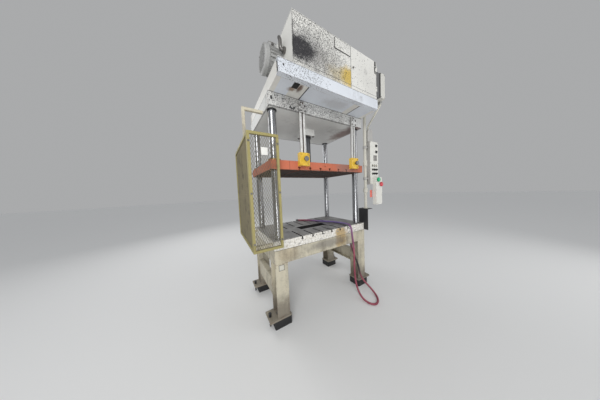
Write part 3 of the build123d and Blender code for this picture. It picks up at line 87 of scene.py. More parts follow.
class PressSizes(bpy.types.PropertyGroup):
    """Sizes that a user would change."""

    mesh_width: FloatProperty(
        name="Mesh diamond width", description="Short pitch of the guard's expanded mesh",
        default=0.024, unit="LENGTH")
    mesh_height: FloatProperty(
        name="Mesh diamond height", description="Long pitch of the guard's expanded mesh",
        default=0.046, unit="LENGTH")
    mesh_strand: FloatProperty(
        name="Mesh strand", description="Width of one strand of the guard's mesh",
        default=0.0046, unit="LENGTH")
    hose_diameter: FloatProperty(
        name="Hose diameter", description="Outside diameter of the floor hose",
        default=0.025, unit="LENGTH")
    weld_leg: FloatProperty(
        name="Weld size", description="Leg length of the fillet welds",
        default=0.009, unit="LENGTH")
    weld_ripple: FloatProperty(
        name="Weld ripple", description="Distance from one ripple of a weld to the next",
        default=0.007, unit="LENGTH")
    pipe_diameter: FloatProperty(
        name="Oil pipe diameter", description="Outside diameter of the rigid oil pipes",
        default=0.022, unit="LENGTH")
    ring_sides: IntProperty(
        name="Ring sides", description="Sides of the collars, rims and seals", default=36)


class PressColours(bpy.types.PropertyGroup):
    """Colours that a user would change."""

    cream: FloatVectorProperty(
        name="Stand paint", description="Cream paint of the stand", subtype="COLOR",
        default=(0.64, 0.59, 0.455), min=0, max=1)
    white: FloatVectorProperty(
        name="Crown paint", description="Off-white paint of the crown and platform",
        subtype="COLOR", default=(0.66, 0.66, 0.64), min=0, max=1)
    lip: FloatVectorProperty(
        name="Platform lip paint", description="Pale blue-white of the front channel",
        subtype="COLOR", default=(0.74, 0.775, 0.825), min=0, max=1)
    tank: FloatVectorProperty(
        name="Tank paint", description="White paint of the tank and cabinet",
        subtype="COLOR", default=(0.80, 0.79, 0.745), min=0, max=1)
    salmon: FloatVectorProperty(
        name="Platen paint", description="Salmon paint of the moving platen",
        subtype="COLOR", default=(0.55, 0.165, 0.095), min=0, max=1)
    yellow: FloatVectorProperty(
        name="Safety yellow", description="Yellow of the lock housings", subtype="COLOR",
        default=(0.78, 0.50, 0.045), min=0, max=1)
    guard: FloatVectorProperty(
        name="Guard paint", description="Dirty yellow of the guard", subtype="COLOR",
        default=(0.34, 0.295, 0.115), min=0, max=1)
    mesh: FloatVectorProperty(
        name="Mesh paint", description="Sooty yellow of the guard's mesh", subtype="COLOR",
        default=(0.20, 0.175, 0.11), min=0, max=1)
    grey: FloatVectorProperty(
        name="Grey paint", description="Grey of the motor and electrical boxes",
        subtype="COLOR", default=(0.44, 0.44, 0.43), min=0, max=1)


def sizes():
    return bpy.context.scene.press_sizes


def colours():
    return bpy.context.scene.press_colours


# ---- Shader building blocks -----------------------------------------------------------------

class Graph:
    """Adds and links the nodes of one material or node group."""

    def __init__(self, tree):
        self.tree = tree

    def add(self, kind, **values):
        node = self.tree.nodes.new(kind)
        for key, value in values.items():
            setattr(node, key, value)
        return node

    def link(self, source, target):
        self.tree.links.new(source, target)

    def put(self, socket, value):
        """Feeds a socket from another socket, or sets its value."""
        if isinstance(value, bpy.types.NodeSocket):
            self.link(value, socket)
        elif hasattr(value, "__len__") and len(value) == 3 and socket.type == "RGBA":
            socket.default_value = (*value, 1)
        else:
            socket.default_value = value

    def math(self, operation, a, b=0.5, clamp=False):
        node = self.add("ShaderNodeMath", operation=operation, use_clamp=clamp)
        self.put(node.inputs[0], a)
        self.put(node.inputs[1], b)
        return node.outputs[0]

    def times(self, a, b, clamp=False):
        return self.math("MULTIPLY", a, b, clamp)

    def plus(self, a, b):
        return self.math("ADD", a, b)

    def minus(self, a, b):
        return self.math("SUBTRACT", a, b)

    def either(self, a, b):
        """The larger of two masks."""
        return self.math("MAXIMUM", a, b)

    def vector(self, operation, a, b=(0, 0, 0)):
        node = self.add("ShaderNodeVectorMath", operation=operation)
        self.put(node.inputs[0], a)
        self.put(node.inputs[1], b)
        return node.outputs["Value" if operation in ("DOT_PRODUCT", "LENGTH") else "Vector"]

    def mix(self, factor, a, b, data_type="RGBA"):
        """One colour over another."""
        node = self.add("ShaderNodeMix", data_type=data_type)
        self.put(node.inputs["Factor"], factor)
        self.put(node.inputs["A"], a)
        self.put(node.inputs["B"], b)
        return node.outputs["Result"]

    def blend(self, factor, a, b):
        """One number over another."""
        return self.mix(factor, a, b, "FLOAT")

    def ramp(self, value, low, high):
        """Smooth step from low to high."""
        node = self.add("ShaderNodeMapRange", interpolation_type="SMOOTHSTEP")
        self.put(node.inputs["Value"], value)
        self.put(node.inputs["From Min"], low)
        self.put(node.inputs["From Max"], high)
        return node.outputs["Result"]

    def position(self):
        return self.add("ShaderNodeTexCoord").outputs["Object"]

    def noise(self, place, scale, detail=4.0, rough=0.55, stretch=(1, 1, 1)):
        mapping = self.add("ShaderNodeMapping")
        mapping.inputs["Scale"].default_value = stretch
        self.link(place, mapping.inputs["Vector"])
        node = self.add("ShaderNodeTexNoise")
        self.link(mapping.outputs[0], node.inputs["Vector"])
        self.put(node.inputs["Scale"], scale)
        self.put(node.inputs["Detail"], detail)
        self.put(node.inputs["Roughness"], rough)
        return node.outputs["Fac"]

    def axis(self, name, output="Object"):
        """One coordinate of the object."""
        split = self.add("ShaderNodeSeparateXYZ")
        self.link(self.add("ShaderNodeTexCoord").outputs[output], split.inputs[0])
        return split.outputs[name]

    def normal_axis(self, name):
        """One coordinate of the surface's normal."""
        return self.axis(name, "Normal")

    def red_of(self, colour):
        split = self.add("ShaderNodeSeparateColor")
        self.link(colour, split.inputs[0])
        return split.outputs[0]

    def cells(self, place, scale):
        node = self.add("ShaderNodeTexVoronoi")
        self.link(place, node.inputs["Vector"])
        self.put(node.inputs["Scale"], scale)
        return node

    def group(self, name, **values):
        node = self.add("ShaderNodeGroup", node_tree=bpy.data.node_groups[name])
        for key, value in values.items():
            self.put(node.inputs[key], value)
        return node

    def bump(self, shader, height, strength, distance):
        """Gives a shader a fine relief."""
        node = self.add("ShaderNodeBump")
        node.inputs["Strength"].default_value = strength
        node.inputs["Distance"].default_value = distance
        self.link(height, node.inputs["Height"])
        self.link(node.outputs[0], shader.inputs["Normal"])


FLOAT = "NodeSocketFloat"
VECTOR = "NodeSocketVector"


def new_group(name, inputs):
    """An empty node group that gives a mask; each input has a name, a kind and a default."""
    tree = bpy.data.node_groups.new(name, "ShaderNodeTree")
    for label, kind, default in inputs:
        socket = tree.interface.new_socket(label, in_out="INPUT", socket_type=kind)
        socket.default_value = default
    tree.interface.new_socket("Mask", in_out="OUTPUT", socket_type=FLOAT)
    graph = Graph(tree)
    return graph, graph.add("NodeGroupInput").outputs, graph.add("NodeGroupOutput").inputs


def build_grime_group():
    """Dirt in clouds and in streaks that run down."""
    g, into, out = new_group("Grime", [("Amount", FLOAT, 0.5), ("Scale", FLOAT, 4.0),
                                       ("Streaks", FLOAT, 0.5)])
    place = g.position()
    clouds = g.noise(place, into["Scale"], detail=6.0, rough=0.62)
    streaks = g.noise(place, g.times(into["Scale"], 6.0), detail=4.0, rough=0.6, stretch=(1, 1, 0.09))
    fine = g.noise(place, g.times(into["Scale"], 22.0), detail=3.0, rough=0.6)
    mixed = g.blend(into["Streaks"], clouds, g.times(g.plus(clouds, streaks), 0.5))
    speck = g.times(g.minus(fine, 0.5), 0.18)
    level = g.minus(0.78, g.times(into["Amount"], 0.42))
    mask = g.ramp(g.plus(mixed, speck), level, g.plus(level, 0.26))
    g.link(mask, out["Mask"])


def build_wear_group():
    """Bare edges, broken up by noise."""
    g, into, out = new_group("Edge Wear", [("Radius", FLOAT, 0.006), ("Amount", FLOAT, 0.5)])
    bevel = g.add("ShaderNodeBevel", samples=4)
    g.link(into["Radius"], bevel.inputs["Radius"])
    normal = g.add("ShaderNodeNewGeometry").outputs["Normal"]
    edge = g.minus(1.0, g.vector("DOT_PRODUCT", bevel.outputs[0], normal))
    broken = g.noise(g.position(), 26.0, detail=5.0, rough=0.66)
    level = g.minus(0.86, g.times(into["Amount"], 0.5))
    bite = g.ramp(broken, level, g.plus(level, 0.08))
    mask = g.times(g.ramp(edge, 0.02, 0.12), bite, clamp=True)
    g.link(mask, out["Mask"])


def build_chip_group():
    """Chips and flaked patches in paint."""
    g, into, out = new_group("Chips", [("Amount", FLOAT, 0.3), ("Scale", FLOAT, 18.0)])
    place = g.position()
    flakes = g.noise(place, into["Scale"], detail=8.0, rough=0.72)
    where = g.noise(place, 2.3, detail=2.0, rough=0.5)
    level = g.minus(0.80, g.times(into["Amount"], 0.28))
    score = g.plus(g.times(flakes, 0.72), g.times(where, 0.28))
    g.link(g.ramp(score, level, g.plus(level, 0.03)), out["Mask"])


# Spatter: each kind of drop by its share of the scale and its reach in its cell
DROP_SIZES = ((1.0, 0.42), (1.9, 0.44), (0.5, 0.24))


def build_spatter_group():
    """Round drops of oil soot, from the size of a pin head to that of a coin."""
    g, into, out = new_group("Spatter", [("Density", FLOAT, 0.4), ("Scale", FLOAT, 60.0)])
    place = g.position()
    total = None
    for factor, reach in DROP_SIZES:
        cell = g.cells(place, g.times(into["Scale"], factor))
        chance = g.math("LESS_THAN", g.red_of(cell.outputs["Color"]), into["Density"])
        drop = g.ramp(cell.outputs["Distance"], reach, reach * 0.72)
        dots = g.times(drop, chance)
        total = dots if total is None else g.either(total, dots)
    g.link(total, out["Mask"])


def build_patch_group():
    """A soft-edged patch around a place on the object."""
    g, into, out = new_group("Patch", [("Centre", VECTOR, (0, 0, 0)), ("Reach", VECTOR, (0.1, 0.1, 0.1)),
                                       ("Ragged", FLOAT, 0.5)])
    place = g.position()
    away = g.vector("DIVIDE", g.vector("SUBTRACT", place, into["Centre"]), into["Reach"])
    ragged = g.noise(place, 14.0, detail=6.0, rough=0.66)
    shift = g.times(g.minus(ragged, 0.5), g.times(into["Ragged"], 1.8))
    distance = g.plus(g.vector("LENGTH", away), shift)
    g.link(g.ramp(distance, 1.15, 0.35), out["Mask"])


def build_soot_group():
    """Burnt-on oil soot: solid in the middle, breaking up into fine grains outwards."""
    g, into, out = new_group("Soot", [("Centre", VECTOR, (0, 0, 0)), ("Reach", VECTOR, (0.1, 0.1, 0.1))])
    near = g.group("Patch", Centre=into["Centre"], Reach=into["Reach"], Ragged=0.35).outputs["Mask"]
    grain = g.noise(g.position(), 85.0, detail=9.0, rough=0.85)
    score = g.plus(grain, g.times(near, 0.30))
    torn = g.ramp(score, 0.66, 0.76)
    soft = g.times(g.math("POWER", near, 2.4), 0.66)
    g.link(g.times(g.ramp(near, 0.02, 0.2), g.either(torn, soft)), out["Mask"])


def build_seam_and_shadow_group():
    """A thin dark line where one coordinate crosses a level: dirt in joints, and also the painted shadow line
    under the bed plate's edge.
    """
    g, into, out = new_group("Seam", [("Coordinate", FLOAT, 0.0), ("Level", FLOAT, 0.0),
                                      ("Width", FLOAT, 0.002)])
    away = g.math("ABSOLUTE", g.minus(into["Coordinate"], into["Level"]))
    ragged = g.times(g.noise(g.position(), 38.0, detail=6.0, rough=0.7), into["Width"])
    g.link(g.ramp(g.plus(away, ragged), g.times(into["Width"], 1.5),
                  g.times(into["Width"], 0.7)), out["Mask"])


def build_groups():
    for build in (build_grime_group, build_wear_group, build_chip_group, build_spatter_group,
                  build_patch_group, build_soot_group, build_seam_and_shadow_group):
        build()


# ---- Materials ------------------------------------------------------------------------------

DIRT = (0.085, 0.075, 0.062)
OIL_AND_SHADE_BLACK = (0.016, 0.015, 0.016)
SOOT_BLACK = (0.016, 0.015, 0.020)
RUST = (0.16, 0.062, 0.024)
BARE_STEEL = (0.22, 0.21, 0.20)
PRIMER = (0.30, 0.27, 0.23)
METAL_OIL = (0.05, 0.045, 0.038)
MOULDING_DUST = (0.20, 0.18, 0.155)
FACE_FILM_TONES = ((0.022, 0.02, 0.019), (0.060, 0.055, 0.05))

# Shares of the paint's colour in its darker clouds and in its fine grain
CLOUD_SHADE, GRAIN_SHADE = 0.86, 0.72
# Shares of the metal's colour in its clouds and in its marks
METAL_CLOUD_SHADE, METAL_MARK_SHADE = 0.72, 0.55


def shade(colour, share):
    """A darker tone of a colour."""
    return tuple(part * share for part in colour)


def new_material(name):
    material = bpy.data.materials.new(name)
    material.use_nodes = True
    material.node_tree.nodes.clear()
    g = Graph(material.node_tree)
    shader = g.add("ShaderNodeBsdfPrincipled")
    output = g.add("ShaderNodeOutputMaterial")
    g.link(shader.outputs[0], output.inputs["Surface"])
    return material, g, shader


def painted(name, colour, roughness=0.5, grime=0.5, grime_scale=4.0, streaks=0.5, wear=0.5,
            wear_radius=0.004, chips=0.25, chip_colour=PRIMER, dirt=DIRT, patches=(), spatter=None,
            soot=(), seams_and_shadow_lines=(), split=None, face_film=0.0):
    """Old paint with dirt, wear at the edges, chips and named stains; its dark lines also carry painted
    shadow and its splits painted shade, where a finish asks for them.
    """
    material, g, shader = new_material(name)
    place = g.position()
    tone = g.noise(place, 1.7, detail=3.0, rough=0.5)
    paint = g.mix(g.ramp(tone, 0.3, 0.7), shade(colour, CLOUD_SHADE), colour)
    fine_tone = g.noise(place, 65.0, detail=3.0, rough=0.6)
    paint = g.mix(g.times(g.ramp(fine_tone, 0.45, 0.75), 0.16), paint, shade(colour, GRAIN_SHADE))
    rough = g.blend(tone, roughness - 0.06, roughness + 0.08)
    if split:
        axis, level, other = split
        paint = g.mix(g.ramp(g.axis(axis), level - 0.0004, level + 0.0004), paint, other)
    for centre, reach, ragged, amount, tint in patches:
        patch = g.group("Patch", Centre=centre, Reach=reach, Ragged=ragged)
        paint = g.mix(g.times(patch.outputs["Mask"], amount), paint, tint)
    grime_node = g.group("Grime", Amount=grime, Scale=grime_scale, Streaks=streaks)
    dirt_mask = g.times(grime_node.outputs["Mask"], 0.72)
    paint = g.mix(dirt_mask, paint, dirt)
    rough = g.blend(dirt_mask, rough, 0.82)
    chip_mask = g.group("Chips", Amount=chips).outputs["Mask"]
    paint = g.mix(chip_mask, paint, chip_colour)
    wear_mask = g.group("Edge Wear", Radius=wear_radius, Amount=wear).outputs["Mask"]
    metal_tint = g.mix(g.ramp(g.noise(place, 9.0, detail=3.0), 0.4, 0.6), BARE_STEEL, RUST)
    paint = g.mix(wear_mask, paint, metal_tint)
    # Dark lines: dirt in joints, and the painted shadow line under the bed plate's edge
    for axis, level, width in seams_and_shadow_lines:
        line = g.group("Seam", Coordinate=g.axis(axis), Level=level, Width=width).outputs["Mask"]
        paint = g.mix(g.times(line, 0.88), paint, OIL_AND_SHADE_BLACK)
    for centre, reach in soot:
        mask = g.group("Soot", Centre=centre, Reach=reach).outputs["Mask"]
        paint = g.mix(g.times(mask, 0.97), paint, SOOT_BLACK)
        rough = g.blend(mask, rough, 0.7)
    if face_film:
        level_face = g.math("ABSOLUTE", g.normal_axis("Z"))
        film = g.times(g.ramp(level_face, 0.5, 0.9), face_film)
        paint = g.mix(film, paint, g.mix(tone, *FACE_FILM_TONES))
        rough = g.blend(film, rough, 0.95)
        shader.inputs["Specular IOR Level"].default_value = 0.14
    if spatter:
        centre, reach, density, scale = spatter
        near = g.group("Patch", Centre=centre, Reach=reach, Ragged=0.25).outputs["Mask"]
        drops = g.group("Spatter", Scale=scale, Density=g.times(near, density)).outputs["Mask"]
        paint = g.mix(g.times(drops, 0.93), paint, OIL_AND_SHADE_BLACK)
        rough = g.blend(drops, rough, 0.3)
    g.link(paint, shader.inputs["Base Color"])
    g.link(rough, shader.inputs["Roughness"])
    peel = g.noise(place, 240.0, detail=2.0, rough=0.5)
    hollows = g.plus(g.times(chip_mask, 0.8), g.times(wear_mask, 0.5))
    g.bump(shader, g.minus(g.times(peel, 0.25), hollows), strength=0.22, distance=0.0006)
    return material


# The bed's machined top and what lies on it
BED_STEEL_DARK = (0.15, 0.142, 0.135)
BED_STEEL_PALE = (0.33, 0.322, 0.315)
BED_STEEL_LEFT_PALE = (0.50, 0.49, 0.475)
BED_SCRATCHES = (0.48, 0.47, 0.46)
BED_OIL = (0.045, 0.04, 0.036)
BED_RUST = (0.17, 0.10, 0.055)
BED_GRIT = (0.62, 0.60, 0.56)
# The old paint on its outer sides, and the yellow stain in it: centre, reach, colour
BED_PAINT_DARK = (0.50, 0.46, 0.38)
BED_PAINT_PALE = (0.82, 0.80, 0.75)
BED_STAIN = ((0.24, -0.44, 0.90), (0.13, 0.06, 0.14), (0.42, 0.27, 0.075))
# How far the crumbs of paint reach in from the front edge
CRUMB_REACH = 0.075


def bed_plate_finish():
    """Machined top with rust and oil, chipped white paint on the outer sides, black in the slots as oil and
    painted shade.
    """
    material, g, shader = new_material("bed_plate")
    place = g.position()
    across, along = g.axis("X"), g.axis("Y")
    upward = g.ramp(g.normal_axis("Z"), 0.4, 0.8)
    top = g.ramp(g.axis("Z"), BED_TOP - 0.004, BED_TOP - 0.001)
    side = g.either(g.ramp(g.math("ABSOLUTE", across), BED_HALF[0] - 0.009, BED_HALF[0] - 0.005),
                    g.ramp(g.math("ABSOLUTE", along), BED_HALF[1] - 0.006, BED_HALF[1] - 0.002))
    marks = g.noise(place, 60.0, detail=5.0, rough=0.65, stretch=(1, 0.08, 1))
    clouds = g.noise(place, 5.0, detail=7.0, rough=0.68)
    # The top is paler towards its left end
    paler_leftwards = g.ramp(across, 0.25, -0.5)
    steel = g.mix(g.ramp(clouds, 0.36, 0.62), BED_STEEL_DARK, BED_STEEL_PALE)
    steel = g.mix(g.times(paler_leftwards, 0.55), steel, BED_STEEL_LEFT_PALE)
    steel = g.mix(g.times(g.ramp(marks, 0.45, 0.75), 0.4), steel, BED_SCRATCHES)
    oil = g.group("Grime", Amount=0.60, Scale=6.5, Streaks=0.0).outputs["Mask"]
    steel = g.mix(g.times(oil, 0.78), steel, BED_OIL)
    brown = g.ramp(g.noise(place, 8.0, detail=8.0, rough=0.72), 0.56, 0.68)
    steel = g.mix(g.times(brown, 0.5), steel, BED_RUST)
    grit = g.ramp(g.noise(place, 120.0, detail=6.0, rough=0.8), 0.60, 0.66)
    steel = g.mix(g.times(grit, 0.6), steel, BED_GRIT)
    flakes = g.noise(place, 42.0, detail=8.0, rough=0.74)
    near_edge = g.ramp(along, CRUMB_REACH - BED_HALF[1], -BED_HALF[1])
    crumbs = g.ramp(g.plus(flakes, g.times(near_edge, 0.16)), 0.60, 0.66)
    on_top = g.times(crumbs, near_edge)
    gone = g.ramp(g.noise(place, 30.0, detail=8.0, rough=0.75), 0.55, 0.60)
    on_side = g.times(side, g.minus(1.0, g.times(gone, 0.9)))
    cover = g.blend(upward, on_side, on_top)
    paint = g.mix(g.ramp(flakes, 0.3, 0.6), BED_PAINT_DARK, BED_PAINT_PALE)
    centre, reach, tint = BED_STAIN
    stain = g.group("Patch", Centre=centre, Reach=reach, Ragged=1.0)
    paint = g.mix(g.times(stain.outputs["Mask"], 0.8), paint, tint)
    dust = g.group("Grime", Amount=0.55, Scale=9.0, Streaks=0.5).outputs["Mask"]
    paint = g.mix(g.times(dust, 0.6), paint, DIRT)
    # Black on the slots' walls and other inner faces: oil, and painted shade of the recesses
    slot_shade_and_oil = g.minus(1.0, g.either(g.times(upward, top), side))
    steel = g.mix(slot_shade_and_oil, steel, OIL_AND_SHADE_BLACK)
    g.link(g.mix(cover, steel, paint), shader.inputs["Base Color"])
    g.link(g.blend(cover, g.blend(oil, 0.42, 0.6), 0.8), shader.inputs["Roughness"])
    g.link(g.times(g.minus(1.0, g.either(cover, slot_shade_and_oil)), 0.6), shader.inputs["Metallic"])
    relief = g.plus(g.times(cover, g.plus(flakes, 0.5)), g.times(marks, 0.15))
    g.bump(shader, relief, strength=0.5, distance=0.0015)
    return material


# The hose's colours, and where two of them lie: centre, reach, colour
HOSE_REDS = ((0.26, 0.045, 0.075), (0.36, 0.085, 0.12))
HOSE_DUST = (0.22, 0.19, 0.17)
HOSE_ON_BED = ((0.34, -0.12, 0.93), (0.42, 0.52, 0.42), (0.17, 0.12, 0.30))
HOSE_RISING = ((0.545, -0.42, 0.40), (0.10, 0.16, 0.34), (0.022, 0.02, 0.022))


def hose_finish():
    """Rubber hose: blue-violet on the bed, red on the floor, black where it rises under the bed."""
    material, g, shader = new_material("hose_rubber")
    place = g.position()
    grain = g.noise(place, 150.0, detail=3.0, rough=0.6)
    tint = g.mix(g.ramp(g.noise(place, 9.0, detail=4.0), 0.35, 0.65), *HOSE_REDS)
    for centre, reach, colour in (HOSE_ON_BED, HOSE_RISING):
        part = g.group("Patch", Centre=centre, Reach=reach, Ragged=0.1)
        tint = g.mix(part.outputs["Mask"], tint, colour)
    dust = g.group("Grime", Amount=0.5, Scale=12.0, Streaks=0.0).outputs["Mask"]
    g.link(g.mix(g.times(dust, 0.45), tint, HOSE_DUST), shader.inputs["Base Color"])
    g.link(g.blend(grain, 0.38, 0.56), shader.inputs["Roughness"])
    g.bump(shader, grain, strength=0.2, distance=0.0003)
    return material


def bare_metal(name, colour, roughness, stretch=(1, 1, 1), scratch_scale=90.0, rust=0.0, oil=0.3,
               relief=0.12):
    """Machined or plated metal with directional marks, oil film and rust."""
    material, g, shader = new_material(name)
    place = g.position()
    lines = g.noise(place, scratch_scale, detail=4.0, rough=0.6, stretch=stretch)
    clouds = g.noise(place, 3.4, detail=5.0, rough=0.6)
    tint = g.mix(g.ramp(clouds, 0.35, 0.7), colour, shade(colour, METAL_CLOUD_SHADE))
    tint = g.mix(g.times(g.ramp(lines, 0.4, 0.72), 0.35), tint, shade(colour, METAL_MARK_SHADE))
    film = g.times(g.group("Grime", Amount=oil, Scale=5.0, Streaks=0.4).outputs["Mask"], 0.8)
    tint = g.mix(film, tint, METAL_OIL)
    spots = g.ramp(g.noise(place, 6.5, detail=8.0, rough=0.7), 0.72 - 0.3 * rust, 0.80 - 0.3 * rust)
    rust_mask = g.times(spots, min(1.0, rust * 3))
    tint = g.mix(rust_mask, tint, RUST)
    rough = g.blend(lines, roughness, roughness + 0.16)
    rough = g.blend(g.either(film, rust_mask), rough, 0.66)
    g.link(tint, shader.inputs["Base Color"])
    g.link(rough, shader.inputs["Roughness"])
    g.link(g.blend(g.either(rust_mask, g.times(film, 0.6)), 1.0, 0.0), shader.inputs["Metallic"])
    g.bump(shader, lines, strength=relief, distance=0.0004)
    return material


def moulded(name, colour, roughness=0.4, dust=0.3, grain_scale=320.0):
    """Plastic or rubber with a faint grain and dust."""
    material, g, shader = new_material(name)
    place = g.position()
    grain = g.noise(place, grain_scale, detail=3.0, rough=0.6)
    tone = g.noise(place, 8.0, detail=4.0, rough=0.55)
    body = g.mix(g.ramp(tone, 0.35, 0.7), colour, shade(colour, 0.8))
    film = g.times(g.group("Grime", Amount=dust, Scale=9.0, Streaks=0.3).outputs["Mask"], 0.5)
    g.link(g.mix(film, body, MOULDING_DUST), shader.inputs["Base Color"])
    rough = g.blend(tone, roughness - 0.05, roughness + 0.08)
    g.link(g.blend(film, rough, 0.85), shader.inputs["Roughness"])
    g.bump(shader, grain, strength=0.18, distance=0.0003)
    return material


# Stains in paint: centre, reach, raggedness, amount, colour
FOOT_DIRT = (0.15, 0.125, 0.10)
STAND_STAINS = [
    ((0.25, -0.44, 0.80), (0.13, 0.05, 0.13), 0.9, 0.8, (0.43, 0.275, 0.075)),
    ((0.02, -0.44, 0.80), (0.42, 0.06, 0.07), 0.7, 0.62, (0.15, 0.14, 0.135)),
    ((-0.66, -0.40, 0.12), (0.35, 0.35, 0.26), 0.5, 0.75, FOOT_DIRT),
    ((0.66, -0.40, 0.12), (0.35, 0.35, 0.24), 0.5, 0.75, FOOT_DIRT),
    ((-0.66, 0.40, 0.12), (0.35, 0.35, 0.26), 0.5, 0.75, FOOT_DIRT),
    ((0.66, 0.40, 0.12), (0.35, 0.35, 0.24), 0.5, 0.75, FOOT_DIRT),
    ((-0.58, -0.44, 0.80), (0.16, 0.06, 0.12), 0.6, 0.5, (0.46, 0.36, 0.22))]
TANK_STAINS = [
    ((-0.36, -0.69, 2.84), (0.36, 0.03, 0.20), 0.9, 0.50, (0.20, 0.195, 0.20)),
    ((-0.54, -0.69, 2.90), (0.007, 0.007, 0.26), 0.6, 0.85, (0.05, 0.045, 0.045)),
    ((-0.05, -0.69, 2.80), (0.30, 0.06, 0.14), 0.9, 0.34, (0.34, 0.32, 0.29)),
    ((0.15, -0.69, 2.76), (0.14, 0.05, 0.13), 0.7, 0.92, (0.66, 0.45, 0.06)),
    ((0.02, -0.69, 2.74), (0.20, 0.05, 0.10), 0.7, 0.50, (0.48, 0.37, 0.14))]
CROWN_STAINS = [
    ((0.62, -0.20, 2.39), (0.16, 0.40, 0.02), 0.6, 0.75, (0.15, 0.045, 0.028)),
    ((-0.45, -0.44, 2.46), (0.34, 0.08, 0.10), 0.9, 0.35, (0.30, 0.29, 0.28)),
    ((0.10, -0.20, 2.39), (0.40, 0.30, 0.05), 0.9, 0.22, (0.25, 0.24, 0.22)),
    ((-0.52, -0.60, 2.53), (0.10, 0.16, 0.05), 0.6, 0.6, (0.16, 0.075, 0.04))]
PLATFORM_STAINS = [
    ((-0.43, -0.585, 2.53), (0.035, 0.075, 0.03), 0.9, 0.9, (0.10, 0.042, 0.018)),
    ((-0.50, -0.540, 2.53), (0.050, 0.040, 0.03), 0.9, 0.8, (0.20, 0.12, 0.07)),
    ((0.10, -0.54, 2.53), (0.22, 0.10, 0.03), 0.9, 0.35, (0.36, 0.34, 0.32))]
# Platen: a grey stain at the right, and a darker band along the lower edge and underside
PLATEN_PATCHES = [
    ((0.40, -0.43, 1.80), (0.26, 0.14, 0.12), 0.7, 0.62, (0.20, 0.15, 0.135)),
    ((0.0, 0.0, 1.735), (0.90, 0.60, 0.035), 0.2, 0.80, (0.06, 0.055, 0.055))]
CABINET_STAINS = [((0.47, -0.69, 2.93), (0.035, 0.03, 0.05), 0.5, 0.4, (0.42, 0.41, 0.39))]

# Soot: centre, reach
TANK_SOOT = [((-0.46, -0.69, 2.825), (0.25, 0.03, 0.15))]

# Spatter: centre, reach, density, scale
TANK_SPATTER = ((-0.38, -0.69, 2.88), (0.64, 0.03, 0.42), 0.85, 86.0)
CABINET_SPATTER = ((0.30, -0.69, 2.85), (0.50, 0.03, 0.42), 0.06, 84.0)
CROWN_SPATTER = ((-0.20, -0.44, 2.47), (0.90, 0.12, 0.16), 0.62, 74.0)
LIP_SPATTER = ((-0.50, -0.695, 2.60), (0.42, 0.1, 0.12), 0.30, 92.0)

# Seams: axis, level, width
# A dark line just under the bed plate's edge: painted shadow of its overhang
BED_SHADOW_DROP, BED_SHADOW_WIDTH = 0.003, 0.0035
CROWN_SEAMS = [("Z", 2.5275, 0.0035), ("Z", 2.3935, 0.0035)]
LIP_SEAMS = [("Z", 2.6535, 0.0025), ("Z", 2.5325, 0.002)]
TANK_SEAMS = [("Z", 3.118, 0.003), ("Z", 2.697, 0.004)]
CABINET_SEAMS = [("X", 0.2095, 0.002), ("Z", 2.697, 0.003)]
JUNCTION_SEAM = [("X", 0.789, 0.003)]
LOCK_SEAM = [("Z", 2.391, 0.003)]
PLATEN_SEAM = [("X", -0.502, 0.003)]

# Splits of one part into two colours: axis, level, colour beyond it
JUNCTION_COVER = ("X", 0.789, (0.66, 0.65, 0.60))
# The dark back of the lock bars' channel: painted shade in its groove
LOCK_GROOVE_SHADE = ("Y", -0.4392, (0.075, 0.05, 0.042))
# The grey body behind the station's white panel: grey paint, and painted shade of the box's side
STATION_BODY_AND_SHADE = ("Y", -0.467, (0.40, 0.39, 0.37))


# The platform's underside is the crown's paint, less dirty and brightened as painted light: the gain of that
# painted light and its upper limit
SOFFIT_LIGHT_GAIN, SOFFIT_LIGHT_LIMIT = 1.25, 0.9


